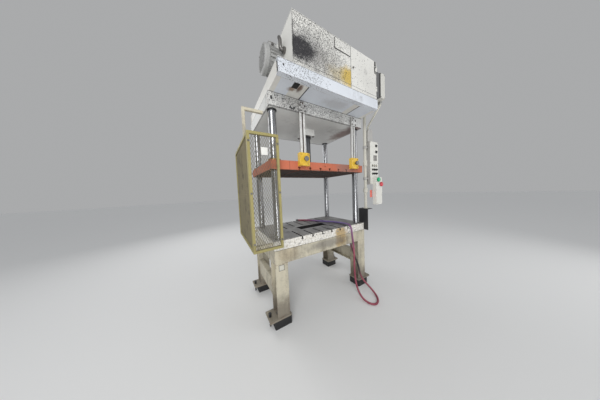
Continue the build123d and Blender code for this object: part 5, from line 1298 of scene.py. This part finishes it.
class PRESS_OT_cylinder_details(bpy.types.Operator):
    """Adds the cylinder's bolts and the rigid oil pipes on the deck"""

    bl_idname = "press.cylinder_details"
    bl_label = "Cylinder Details"

    def execute(self, context):
        cap_low, cap_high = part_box("cylinder_cap")
        head_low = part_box("cylinder_head")[0]
        gland_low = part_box("rod_gland")[0]
        bolts = bmesh.new()
        for across, along in circle(8):
            way = Vector((across, along, 0))
            add_bolt(bolts, way * CAP_BOLTS[0] + Vector((0, 0, cap_high.z)), UP, CAP_BOLTS[1], washer=False)
            add_socket_screw(bolts, way * GLAND_SCREWS[0] + Vector((0, 0, gland_low.z)), DOWN,
                             GLAND_SCREWS[1])
        for sx, sy in product((-1, 1), (-1, 1)):
            add_bolt(bolts, (sx * HEAD_BOLTS[0], sy * HEAD_BOLTS[0], head_low.z), DOWN, HEAD_BOLTS[1])
        make_piece("cylinder_bolts", bolts, "bolt_steel", FRAME_BODY)

        radius = sizes().pipe_diameter / 2
        tank_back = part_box("tank_body")[1].y
        block_low, block_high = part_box("valve_manifold")
        port = Vector((0, cap_high.y, (cap_low.z + cap_high.z) / 2))
        line_z, behind = block_low.z + LINE_RISE, port.y + PORT_REACH
        upper_z = line_z + UPPER_LINE_RISE
        block_y = (block_low.y + block_high.y) / 2
        block_front = block_y - MANIFOLD_DEPTH / 2
        block_port = (block_low.x, block_y, line_z)
        tank_port, return_port = (RETURN_X, tank_back, line_z), (RETURN_X, block_front, line_z)
        upper_port, upper_end = (UPPER_X, tank_back, upper_z), (UPPER_END_X, block_front, line_z)
        pipes = bmesh.new()
        add_pipe(pipes, [port, (0, behind, port.z), (0, behind, line_z), (CYLINDER_LINE_X, behind, line_z),
                         (CYLINDER_LINE_X, block_y, line_z), block_port],
                 radius, sides=PIPE_SIDES, bend=PIPE_BEND)
        add_pipe(pipes, [tank_port, return_port], radius, sides=PIPE_SIDES)
        add_pipe(pipes, [upper_port, (UPPER_X, UPPER_TURN_Y, upper_z), (UPPER_END_X, UPPER_TURN_Y, upper_z),
                         (UPPER_END_X, UPPER_TURN_Y, line_z), upper_end],
                 radius, sides=PIPE_SIDES, bend=PIPE_BEND)
        make_piece("oil_pipes", pipes, "conduit_zinc", FRAME_BODY)
        nuts = bmesh.new()
        for place, way in ((port, BACK), (block_port, LEFT), (tank_port, BACK), (return_port, FRONT),
                           (upper_port, BACK), (upper_end, FRONT)):
            place, way = Vector(place), Vector(way)
            add_rod(nuts, place, place + way * NUT_LENGTHS[0], radius * NUT_SIZES[0], sides=6)
            add_rod(nuts, place + way * (NUT_LENGTHS[0] - NUT_OVERLAP), place + way * NUT_LENGTHS[1],
                    radius * NUT_SIZES[1], sides=6)
        make_piece("pipe_nuts", nuts, "bolt_steel", FRAME_BODY)

        plugs = bmesh.new()
        covers = bmesh.new()
        half_x, half_y = VALVE_SCREW_HALF
        for x in VALVE_XS:
            for dx, dy in product((-half_x, half_x), (-half_y, half_y)):
                add_socket_screw(plugs, (x + dx, block_y + dy, block_high.z), UP, VALVE_SCREW)
            for y, way in ((block_low.y, -1), (block_high.y, 1)):
                add_bolt(plugs, (x, y, block_high.z - END_CAP_DROP), (0, way, 0), END_CAP_FLATS, washer=False)
                near = y - way * COIL_PLUG_BACK
                front, back = sorted((near, near + way * COIL_PLUG_DEPTH))
                add_box(covers, (x - COIL_PLUG_HALF, front, block_high.z + COIL_PLUG_RISES[0]),
                        (x + COIL_PLUG_HALF, back, block_high.z + COIL_PLUG_RISES[1]), bevel=0.003)
        for x in PORT_PLUG_XS:
            add_bolt(plugs, (x, block_y + MANIFOLD_DEPTH / 2, line_z), BACK, PORT_PLUG_FLATS, washer=False)
        make_piece("manifold_plugs", plugs, "bolt_steel", FRAME_BODY)
        make_piece("solenoid_plugs", covers, "black_plastic", FRAME_BODY)
        return {"FINISHED"}


# Platen: seals as inner radius, outer radius and height; screws as circle radius and size
COLUMN_SEAL = (0.0431, 0.0525, 0.007)
BUSHING_SCREWS = (0.0612, 0.011)
HOUSING_BOLT_HALF, HOUSING_BOLT_INSET, HOUSING_BOLT_FLATS = 0.050, 0.016, 0.015


class PRESS_OT_platen_details(bpy.types.Operator):
    """Adds the platen's seals, flange screws and lock housing bolts"""

    bl_idname = "press.platen_details"
    bl_label = "Platen Details"

    def execute(self, context):
        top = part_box("guide_bushings")[1].z
        seals = bmesh.new()
        screws = bmesh.new()
        for x, y in COLUMNS:
            add_ring(seals, (x, y, top), UP, *COLUMN_SEAL)
            for across, along in circle(6):
                place = (x + BUSHING_SCREWS[0] * across, y + BUSHING_SCREWS[0] * along, top)
                add_socket_screw(screws, place, UP, BUSHING_SCREWS[1])
        make_piece("column_seals", seals, "black_rubber", PLATEN_BODY)
        make_piece("bushing_screws", screws, "bolt_steel", PLATEN_BODY)

        low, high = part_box("lock_housings")
        bolts = bmesh.new()
        for x, dx, z in product(LOCK_XS, (-HOUSING_BOLT_HALF, HOUSING_BOLT_HALF),
                                (low.z + HOUSING_BOLT_INSET, high.z - HOUSING_BOLT_INSET)):
            add_bolt(bolts, (x + dx, low.y, z), FRONT, HOUSING_BOLT_FLATS)
        make_piece("lock_housing_bolts", bolts, "yellow_paint", PLATEN_BODY)
        return {"FINISHED"}


# Guard: bolts, corner beads and the blank plate at the front mesh
GUARD_BOLT_INSET, GUARD_BOLT_FLATS = 0.09, 0.011
GUARD_BEAD, GUARD_BEAD_REACH = 0.004, 0.8
GUARD_PLATE = ((-0.837, 1.859), (-0.773, 1.930))
GUARD_PLATE_DEPTHS = (0.004, 0.0105)
GUARD_RIVET_INSET = (0.007, 0.007)
GUARD_RIVET_DEPTHS = (0.002, 0.005)
GUARD_RIVET_RADIUS = 0.003


class PRESS_OT_guard_details(bpy.types.Operator):
    """Adds the guard's screws, corner welds and blank plate"""

    bl_idname = "press.guard_details"
    bl_label = "Guard Details"

    def execute(self, context):
        low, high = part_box("guard_front_frame")
        side_low, side_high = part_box("guard_side_frame")
        front = low.y
        bar = high.y - front
        screws = bmesh.new()
        for z in (low.z + GUARD_BOLT_INSET, (low.z + high.z) / 2, high.z - GUARD_BOLT_INSET):
            for x in (low.x + bar / 2, high.x - bar / 2):
                add_bolt(screws, (x, front, z), FRONT, GUARD_BOLT_FLATS)
            for y in (side_low.y + bar / 2, side_high.y - bar / 2):
                add_bolt(screws, (side_high.x, y, z), RIGHT, GUARD_BOLT_FLATS)
        make_piece("guard_bolts", screws, "bolt_steel", FRAME_BODY)

        beads = bmesh.new()
        bead_y = front + 0.001
        for z in (low.z + bar, high.z - bar):
            for x, way in ((low.x + bar, -1), (high.x - bar, 1)):
                add_weld(beads, (x, bead_y, z), (x + way * bar * GUARD_BEAD_REACH, bead_y, z), GUARD_BEAD)
        make_piece("guard_welds", beads, "guard_paint", FRAME_BODY)

        plate = bmesh.new()
        (left, bottom), (right, top) = GUARD_PLATE
        near, far = GUARD_PLATE_DEPTHS
        add_box(plate, (left, front + near, bottom), (right, front + far, top), bevel=0.001)
        near, far = GUARD_RIVET_DEPTHS
        for x, z in corners(*GUARD_PLATE, GUARD_RIVET_INSET):
            add_rod(plate, (x, front + near, z), (x, front + far, z), GUARD_RIVET_RADIUS, sides=12)
        make_piece("guard_blank_plate", plate, "cabinet_paint", FRAME_BODY)
        return {"FINISHED"}


# Tank: blank plate, and the black strips at its left and bottom edges that paint its shadow, as left, bottom,
# right, top; elbow; lid and filler cap
TANK_PLATE = (-0.035, 3.005, 0.196, 3.105)
TANK_PLATE_RISE, TANK_PLATE_SHADOW_RISE = 0.004, 0.003
TANK_PLATE_SHADOW_LEFT = (-0.041, 2.997, -0.034, 3.105)
TANK_PLATE_SHADOW_BOTTOM = (-0.041, 2.997, 0.199, 3.0055)
ELBOW_PLACE = (-0.52, 2.90)
ELBOW_REACH, ELBOW_RADIUS, ELBOW_BEND = 0.05, 0.018, 0.03
ELBOW_RISE, ELBOW_TIP = 0.085, (0.02, 0.12)
ELBOW_NUT = (0.022, 0.030)
LID_SCREW_INSET, LID_SCREW_FLATS = 0.014, 0.012
LID_STEPS_X, LID_STEPS_Y = 5, 4
FILLER_RIBS = 20
FILLER_RIB_CIRCLE, FILLER_RIB_RADIUS = 0.0398, 0.0022
FILLER_RIB_ENDS = (0.018, 0.012)

# Motor: terminal box and cover as half length, half width and rise; screws
TERMINAL_SHIFT = 0.012
TERMINAL_BOX = (0.038, 0.046, 0.038)
TERMINAL_SINK = 0.016
TERMINAL_COVER = (0.041, 0.049, 0.046)
TERMINAL_SCREW_HALF = (0.033, 0.041)
TERMINAL_SCREW = 0.007
CABLE_GLAND_RISE, CABLE_GLAND_LENGTH, CABLE_GLAND_RADIUS = 0.012, 0.020, 0.013
FLANGE_BOLTS = (0.1175, 0.013)
FLANGE_BOLT_BACK = 0.018
COWL_SCREWS = (0.108, 0.008)


class PRESS_OT_power_unit_details(bpy.types.Operator):
    """Adds the blank plate, screws and fittings of the tank and motor"""

    bl_idname = "press.power_unit_details"
    bl_label = "Power Unit Details"

    def execute(self, context):
        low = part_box("tank_body")[0]
        lid_low, lid_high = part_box("tank_lid")
        plate = bmesh.new()
        left, bottom, right, top = TANK_PLATE
        add_box(plate, (left, low.y - TANK_PLATE_RISE, bottom), (right, low.y, top), bevel=0.0015)
        make_piece("blank_plate", plate, "tank_paint", FRAME_BODY)
        # Black strips along the plate's left and bottom edges: painted shadow of the plate
        edges = bmesh.new()
        for left, bottom, right, top in (TANK_PLATE_SHADOW_LEFT, TANK_PLATE_SHADOW_BOTTOM):
            add_box(edges, (left, low.y - TANK_PLATE_SHADOW_RISE, bottom), (right, low.y, top), bevel=0.001)
        make_piece("plate_shadow_strips", edges, "black_rubber", FRAME_BODY)

        elbow = bmesh.new()
        y, z = ELBOW_PLACE
        out_x = low.x - ELBOW_REACH
        add_pipe(elbow, [(low.x - 0.002, y, z), (out_x, y, z), (out_x, y, z + ELBOW_RISE),
                         (out_x, y + ELBOW_TIP[0], z + ELBOW_TIP[1])], ELBOW_RADIUS, bend=ELBOW_BEND)
        add_rod(elbow, (low.x - ELBOW_NUT[0], y, z), (low.x, y, z), ELBOW_NUT[1], sides=6)
        make_piece("return_elbow", elbow, "bolt_steel", FRAME_BODY)

        screws = bmesh.new()
        inset = LID_SCREW_INSET
        for i in range(LID_STEPS_X + 1):
            x = lid_low.x + inset + i * (lid_high.x - lid_low.x - 2 * inset) / LID_STEPS_X
            for y in (lid_low.y + inset, lid_high.y - inset):
                add_bolt(screws, (x, y, lid_high.z), UP, LID_SCREW_FLATS)
        for i in range(1, LID_STEPS_Y):
            y = lid_low.y + inset + i * (lid_high.y - lid_low.y - 2 * inset) / LID_STEPS_Y
            for x in (lid_low.x + inset, lid_high.x - inset):
                add_bolt(screws, (x, y, lid_high.z), UP, LID_SCREW_FLATS)
        make_piece("lid_screws", screws, "bolt_steel", FRAME_BODY)

        cap_low, cap_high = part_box("filler_cap")
        centre = (cap_low + cap_high) / 2
        ribs = bmesh.new()
        for across, along in circle(FILLER_RIBS, 0):
            x, y = centre.x + FILLER_RIB_CIRCLE * across, centre.y + FILLER_RIB_CIRCLE * along
            add_rod(ribs, (x, y, lid_high.z + FILLER_RIB_ENDS[0]), (x, y, cap_high.z - FILLER_RIB_ENDS[1]),
                    FILLER_RIB_RADIUS, sides=8)
        make_piece("filler_ribs", ribs, "black_plastic", FRAME_BODY)

        motor_low, motor_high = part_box("motor_frame")
        cowl_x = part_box("fan_cowl")[0].x + 0.0005
        centre = (motor_low + motor_high) / 2
        middle = centre.x - TERMINAL_SHIFT
        motor_top = motor_high.z
        cover_top = motor_top + TERMINAL_COVER[2]
        box = bmesh.new()
        half_x, half_y, rise = TERMINAL_BOX
        add_box(box, (middle - half_x, centre.y - half_y, motor_top - TERMINAL_SINK),
                (middle + half_x, centre.y + half_y, motor_top + rise), bevel=0.004)
        half_x, half_y, rise = TERMINAL_COVER
        add_box(box, (middle - half_x, centre.y - half_y, motor_top + TERMINAL_BOX[2]),
                (middle + half_x, centre.y + half_y, cover_top), bevel=0.003)
        make_piece("motor_terminal_box", box, "grey_paint", FRAME_BODY)

        hardware = bmesh.new()
        half_x, half_y = TERMINAL_SCREW_HALF
        for dx, dy in product((-half_x, half_x), (-half_y, half_y)):
            add_socket_screw(hardware, (middle + dx, centre.y + dy, cover_top), UP, TERMINAL_SCREW)
        gland_y, gland_z = centre.y - TERMINAL_BOX[1], motor_top + CABLE_GLAND_RISE
        add_rod(hardware, (middle, gland_y, gland_z), (middle, gland_y - CABLE_GLAND_LENGTH, gland_z),
                CABLE_GLAND_RADIUS, sides=6)
        flange_x = motor_high.x - FLANGE_BOLT_BACK
        for across, along in circle(4):
            for x, (reach, size), add in ((flange_x, FLANGE_BOLTS, add_bolt),
                                          (cowl_x, COWL_SCREWS, add_socket_screw)):
                add(hardware, (x, centre.y + across * reach, centre.z + along * reach), LEFT, size)
        make_piece("motor_hardware", hardware, "bolt_steel", FRAME_BODY)
        return {"FINISHED"}


# Cabinet: strap on the door's right side, its fitting, the latch; the junction box
STRAP_INSETS = (0.046, 0.018)
STRAP_BOTTOM, STRAP_TOP_GAP, STRAP_RISE = 2.985, 0.004, 0.0025
FITTING_LAP, FITTING_ZS, FITTING_RISE = 0.004, (2.972, 2.992), 0.0065
STRAP_PIN_Z, STRAP_PIN_RISE, STRAP_PIN_RADIUS = 3.050, 0.007, 0.005
LATCH_INSET = 0.028
LATCH_KNOB = (0.020, 0.008)
LATCH_KEY_HALF = (0.0015, 0.007)
LATCH_KEY_RISES = (0.0105, 0.0070)
JUNCTION_SCREW_INSET = (0.010, 0.012)
JUNCTION_SCREW = 0.008
POLE_PLACE = (0.800, -0.420)
POLE_COUPLER = (0.016, 0.034)
BRANCH_PLACE = (0.8925, -0.610)
BRANCH_LOW, BRANCH_HIGH = (0.024, 0.018, 0.034), (0.020, 0.018, 0)
BRANCH_CLIP_ZS = (-0.010, 0.030)


class PRESS_OT_cabinet_details(bpy.types.Operator):
    """Adds the cabinet's strap and latch, and the junction box's screws and couplers"""

    bl_idname = "press.cabinet_details"
    bl_label = "Cabinet Details"

    def execute(self, context):
        low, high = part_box("cabinet_body")
        door_low, door_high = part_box("cabinet_door")
        face = low.y
        left, right = high.x - STRAP_INSETS[0], high.x - STRAP_INSETS[1]
        strap = bmesh.new()
        add_box(strap, (left, face - STRAP_RISE, STRAP_BOTTOM),
                (right, face, door_high.z - STRAP_TOP_GAP), bevel=0.0008)
        make_piece("cabinet_strap", strap, "black_rubber", CABINET_DOOR_BODY)
        left, right = left - FITTING_LAP, right + FITTING_LAP
        fitting = bmesh.new()
        add_box(fitting, (left, face - FITTING_RISE, FITTING_ZS[0]),
                (right, face, FITTING_ZS[1]), bevel=0.002)
        pin_y = face - STRAP_PIN_RISE
        add_rod(fitting, (left, pin_y, STRAP_PIN_Z), (right, pin_y, STRAP_PIN_Z), STRAP_PIN_RADIUS, sides=12)
        make_piece("strap_fitting", fitting, "conduit_zinc", CABINET_DOOR_BODY)

        latch = bmesh.new()
        place = Vector((low.x + LATCH_INSET, door_low.y, (low.z + high.z) / 2))
        add_knob(latch, place, FRONT, *LATCH_KNOB)
        half_x, half_z = LATCH_KEY_HALF
        add_box(latch, place + Vector((-half_x, -LATCH_KEY_RISES[0], -half_z)),
                place + Vector((half_x, -LATCH_KEY_RISES[1], half_z)), bevel=0.0005)
        make_piece("cabinet_latch_insert", latch, "bolt_steel", CABINET_DOOR_BODY)

        box_low, box_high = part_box("junction_box")
        screws = bmesh.new()
        seam = (box_low.x + box_high.x) / 2
        for x, z in corners((seam, box_low.z), (box_high.x, box_high.z), JUNCTION_SCREW_INSET):
            add_socket_screw(screws, (x, box_low.y, z), FRONT, JUNCTION_SCREW)
        make_piece("junction_cover_screws", screws, "bolt_steel", FRAME_BODY)
        couplers = bmesh.new()
        add_rod(couplers, (*POLE_PLACE, box_low.z - POLE_COUPLER[0]), (*POLE_PLACE, box_low.z),
                POLE_COUPLER[1], sides=6)
        branch = Vector((*BRANCH_PLACE, box_low.z))
        add_box(couplers, branch - Vector(BRANCH_LOW), branch + Vector(BRANCH_HIGH), bevel=0.004)
        add_box(couplers, (box_high.x, branch.y - BRANCH_HIGH[1], branch.z + BRANCH_CLIP_ZS[0]),
                (branch.x + BRANCH_HIGH[0], branch.y + BRANCH_HIGH[1], branch.z + BRANCH_CLIP_ZS[1]),
                bevel=0.004)
        make_piece("junction_couplers", couplers, "conduit_zinc", FRAME_BODY)
        return {"FINISHED"}


# Station: switches in columns and rows from the panel's lower left; diameters and heights
SWITCH_START, SWITCH_PITCH = (0.058, 0.165), (0.046, 0.062)
SWITCH_COUNT, LAMP_ROW = 3, 2
SWITCH_BASE, LAMP_HEAD, SWITCH_HEAD = (0.004, 0.017), (0.022, 0.014), (0.024, 0.012)
POINTER_HALF, POINTER_DEPTHS = (0.003, 0.011), (0.026, 0.015)
UPPER_SWITCH_ZS, UPPER_SWITCH_XS = (2.064, 2.157), (0.985, 1.022)
UPPER_SWITCH_HALF, UPPER_SWITCH_RISE, UPPER_SWITCH_HEAD = 0.019, 0.010, (0.020, 0.012)
STATION_PLATE = ((0.935, 1.925), (1.020, 2.010))
STATION_PLATE_RISE = 0.0015
PANEL_SCREW_INSET, PANEL_SCREW, BUTTON_BOX_SCREW = (0.010, 0.012), 0.008, 0.007
CLAMP_X, CLAMP_YS, CLAMP_ZS = 0.828, (-0.440, -0.400), (1.630, 1.670, 2.105, 2.145)
CLAMP_BOLT_FLATS = 0.011
BUTTON_COLLAR = (0.0130, 0.0205, 0.0018)
CARD = ((0.846, 1.356), (0.898, 1.470))
CARD_DEPTHS = (0.004, 0.006)
HOOK_X, HOOK_RADIUS, HOOK_BEND = 0.872, 0.0016, 0.006
HOOK_LINE = ((0.005, 1.462), (0.001, 1.474), (0.005, 1.500))


class PRESS_OT_station_details(bpy.types.Operator):
    """Adds the switches, lamps, collars, screws and card of the operator station"""

    bl_idname = "press.station_details"
    bl_label = "Station Details"

    def execute(self, context):
        low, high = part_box("control_box")
        face = low.y
        panel_left = high.x - PANEL_WIDTH
        panel_top = high.z - HUB_RISE
        switches = bmesh.new()
        lamps = bmesh.new()
        for column, row in product(range(SWITCH_COUNT), range(SWITCH_COUNT)):
            x = panel_left + SWITCH_START[0] + column * SWITCH_PITCH[0]
            z = low.z + SWITCH_START[1] + row * SWITCH_PITCH[1]
            place = (x, face - SWITCH_BASE[0], z)
            add_rod(switches, (x, face, z), place, SWITCH_BASE[1], sides=24)
            if row == LAMP_ROW:
                add_knob(lamps, place, FRONT, *LAMP_HEAD)
                continue
            add_knob(switches, place, FRONT, *SWITCH_HEAD)
            half_x, half_z = POINTER_HALF
            add_box(switches, (x - half_x, face - POINTER_DEPTHS[0], z - half_z),
                    (x + half_x, face - POINTER_DEPTHS[1], z + half_z), bevel=0.001)
        left, right = UPPER_SWITCH_XS
        upper_face = face - UPPER_SWITCH_RISE
        for z in UPPER_SWITCH_ZS:
            add_box(switches, (left, upper_face, z - UPPER_SWITCH_HALF),
                    (right, face, z + UPPER_SWITCH_HALF), bevel=0.002)
            add_knob(switches, ((left + right) / 2, upper_face, z), FRONT, *UPPER_SWITCH_HEAD)
        make_piece("station_switches", switches, "black_plastic", FRAME_BODY)
        make_piece("station_lamps", lamps, "clear_lens", FRAME_BODY)
        plate = bmesh.new()
        (left, bottom), (right, top) = STATION_PLATE
        add_box(plate, (left, face - STATION_PLATE_RISE, bottom), (right, face, top), bevel=0.0005)
        make_piece("station_blank_plate", plate, "bolt_steel", FRAME_BODY)

        screws = bmesh.new()
        inset_x, inset_z = PANEL_SCREW_INSET
        for x, z in product((panel_left + inset_x, high.x - inset_x),
                            (low.z + inset_z, (low.z + panel_top) / 2, panel_top - inset_z)):
            add_socket_screw(screws, (x, face, z), FRONT, PANEL_SCREW)
        box_low, box_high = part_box("button_box")
        for x, z in corners((box_low.x, box_low.z), (box_high.x, box_high.z), PANEL_SCREW_INSET):
            add_socket_screw(screws, (x, box_low.y, z), FRONT, BUTTON_BOX_SCREW)
        for z, (y, way) in product(CLAMP_ZS, zip(CLAMP_YS, (FRONT, BACK))):
            add_bolt(screws, (CLAMP_X, y, z), way, CLAMP_BOLT_FLATS)
        make_piece("station_screws", screws, "bolt_steel", FRAME_BODY)

        for name in ("start_button", "stop_button"):
            button_low, button_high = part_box(name)
            middle = (button_low + button_high) / 2
            collar = bmesh.new()
            add_ring(collar, (middle.x, box_low.y, middle.z), FRONT, *BUTTON_COLLAR)
            make_piece(f"{name}_collar", collar, "bolt_steel", FRAME_BODY)

        card = bmesh.new()
        (left, bottom), (right, top) = CARD
        add_box(card, (left, face + CARD_DEPTHS[0], bottom),
                (right, face + CARD_DEPTHS[1], top), bevel=0.0006)
        make_piece("hanging_card", card, "tag_card", FRAME_BODY)
        hook = bmesh.new()
        line = [(HOOK_X, face + depth, z) for depth, z in HOOK_LINE]
        add_pipe(hook, [*line, (HOOK_X, line[-1][1], low.z + 0.002)], HOOK_RADIUS, sides=8, bend=HOOK_BEND)
        make_piece("card_hook", hook, "bolt_steel", FRAME_BODY)
        return {"FINISHED"}


# Camera fitted to the photograph: place in metres, turns in radians, lens in millimetres
CAMERA_PLACE = (-1.226, -1.903, 1.497)
CAMERA_YAW = 0.5153
CAMERA_PITCH = -0.0595
CAMERA_ROLL = 0.0433
CAMERA_LENS = 8.756
SENSOR_WIDTH = 36.0

FLOOR_HALF = 40
FLOOR_COLOUR, FLOOR_ROUGHNESS = (0.80, 0.80, 0.79), 0.75
SKY_COLOUR, SKY_STRENGTH = (0.95, 0.97, 1.0), 0.50
BACKDROP_COLOUR = (0.40, 0.405, 0.41)

# Square lamps: name, place, target, side, energy, spread
LAMPS = [("key", (-3.6, -4.6, 4.2), (0, -0.3, 1.6), 2.6, 150, math.pi),
         ("fill", (4.2, -3.8, 2.6), (0, 0, 1.6), 3.0, 42, math.pi),
         ("back", (-2.0, 4.5, 4.0), (0, 0, 1.8), 3.0, 70, math.pi),
         ("low fill", (-1.6, -3.4, 0.75), (0, -0.2, 2.2), 1.2, 8, math.radians(80))]


def camera_matrix():
    forward = Vector((math.sin(CAMERA_YAW) * math.cos(CAMERA_PITCH),
                      math.cos(CAMERA_YAW) * math.cos(CAMERA_PITCH), math.sin(CAMERA_PITCH)))
    level = Vector((math.cos(CAMERA_YAW), -math.sin(CAMERA_YAW), 0))
    below = forward.cross(level)
    right = level * math.cos(CAMERA_ROLL) + below * math.sin(CAMERA_ROLL)
    down = below * math.cos(CAMERA_ROLL) - level * math.sin(CAMERA_ROLL)
    turn = Matrix((right, -down, -forward)).transposed().to_4x4()
    return Matrix.Translation(CAMERA_PLACE) @ turn


def add_lamp(name, place, target, side, energy, spread):
    lamp = bpy.data.lights.new(name, "AREA")
    lamp.shape = "SQUARE"
    lamp.size = side
    lamp.energy = energy
    lamp.spread = spread
    obj = bpy.data.objects.new(name, lamp)
    aim = Vector(target) - Vector(place)
    obj.matrix_world = Matrix.Translation(place) @ aim.to_track_quat("-Z", "Y").to_matrix().to_4x4()
    bpy.context.scene.collection.objects.link(obj)


class PRESS_OT_stage(bpy.types.Operator):
    """Sets the pale floor, the soft lamps and the camera"""

    bl_idname = "press.stage"
    bl_label = "Stage"

    def execute(self, context):
        scene = context.scene
        bm = bmesh.new()
        bmesh.ops.create_grid(bm, x_segments=1, y_segments=1, size=FLOOR_HALF)
        mesh = bpy.data.meshes.new("floor")
        bm.to_mesh(mesh)
        bm.free()
        floor = bpy.data.objects.new("floor", mesh)
        scene.collection.objects.link(floor)
        material, g, shader = new_material("floor_pale")
        g.put(shader.inputs["Base Color"], FLOOR_COLOUR)
        g.put(shader.inputs["Roughness"], FLOOR_ROUGHNESS)
        mesh.materials.append(material)

        world = bpy.data.worlds.new("studio")
        scene.world = world
        world.use_nodes = True
        world.node_tree.nodes.clear()
        g = Graph(world.node_tree)
        light = g.add("ShaderNodeBackground")
        g.put(light.inputs["Color"], SKY_COLOUR)
        g.put(light.inputs["Strength"], SKY_STRENGTH)
        backdrop = g.add("ShaderNodeBackground")
        g.put(backdrop.inputs["Color"], BACKDROP_COLOUR)
        path = g.add("ShaderNodeLightPath").outputs
        seen = g.either(path["Is Camera Ray"], g.either(path["Is Glossy Ray"], path["Is Transmission Ray"]))
        mix = g.add("ShaderNodeMixShader")
        g.link(seen, mix.inputs[0])
        g.link(light.outputs[0], mix.inputs[1])
        g.link(backdrop.outputs[0], mix.inputs[2])
        g.link(mix.outputs[0], g.add("ShaderNodeOutputWorld").inputs["Surface"])

        for lamp in LAMPS:
            add_lamp(*lamp)

        camera = bpy.data.cameras.new("camera")
        camera.sensor_width = SENSOR_WIDTH
        camera.lens = CAMERA_LENS
        camera.clip_start = 0.05
        obj = bpy.data.objects.new("camera", camera)
        obj.matrix_world = camera_matrix()
        scene.collection.objects.link(obj)
        scene.camera = obj
        scene.view_settings.view_transform = "Standard"
        return {"FINISHED"}


class PRESS_PT_panel(bpy.types.Panel):
    """Lists the press's operators and settings"""

    bl_label = "Trim Press"
    bl_idname = "PRESS_PT_panel"
    bl_space_type = "VIEW_3D"
    bl_region_type = "UI"
    bl_category = "Trim Press"

    def draw(self, context):
        for operator in OPERATORS:
            self.layout.operator(operator.bl_idname)
        for group in (context.scene.press_sizes, context.scene.press_colours):
            for name in group.bl_rna.properties.keys():
                if name not in ("rna_type", "name"):
                    self.layout.prop(group, name)


OPERATORS = [PRESS_OT_finishes, PRESS_OT_guard_mesh, PRESS_OT_hose, PRESS_OT_stand_details,
             PRESS_OT_crown_details, PRESS_OT_platform_details, PRESS_OT_cylinder_details,
             PRESS_OT_platen_details, PRESS_OT_guard_details, PRESS_OT_power_unit_details,
             PRESS_OT_cabinet_details, PRESS_OT_station_details, PRESS_OT_stage]
CLASSES = [PressSizes, PressColours, *OPERATORS, PRESS_PT_panel]


def register():
    for cls in CLASSES:
        bpy.utils.register_class(cls)
    bpy.types.Scene.press_sizes = PointerProperty(type=PressSizes)
    bpy.types.Scene.press_colours = PointerProperty(type=PressColours)


def unregister():
    del bpy.types.Scene.press_sizes
    del bpy.types.Scene.press_colours
    for cls in reversed(CLASSES):
        bpy.utils.unregister_class(cls)


def main():
    register()
    for operator in OPERATORS:
        group, name = operator.bl_idname.split(".")
        getattr(getattr(bpy.ops, group), name)()


if __name__ == "__main__":
    main()
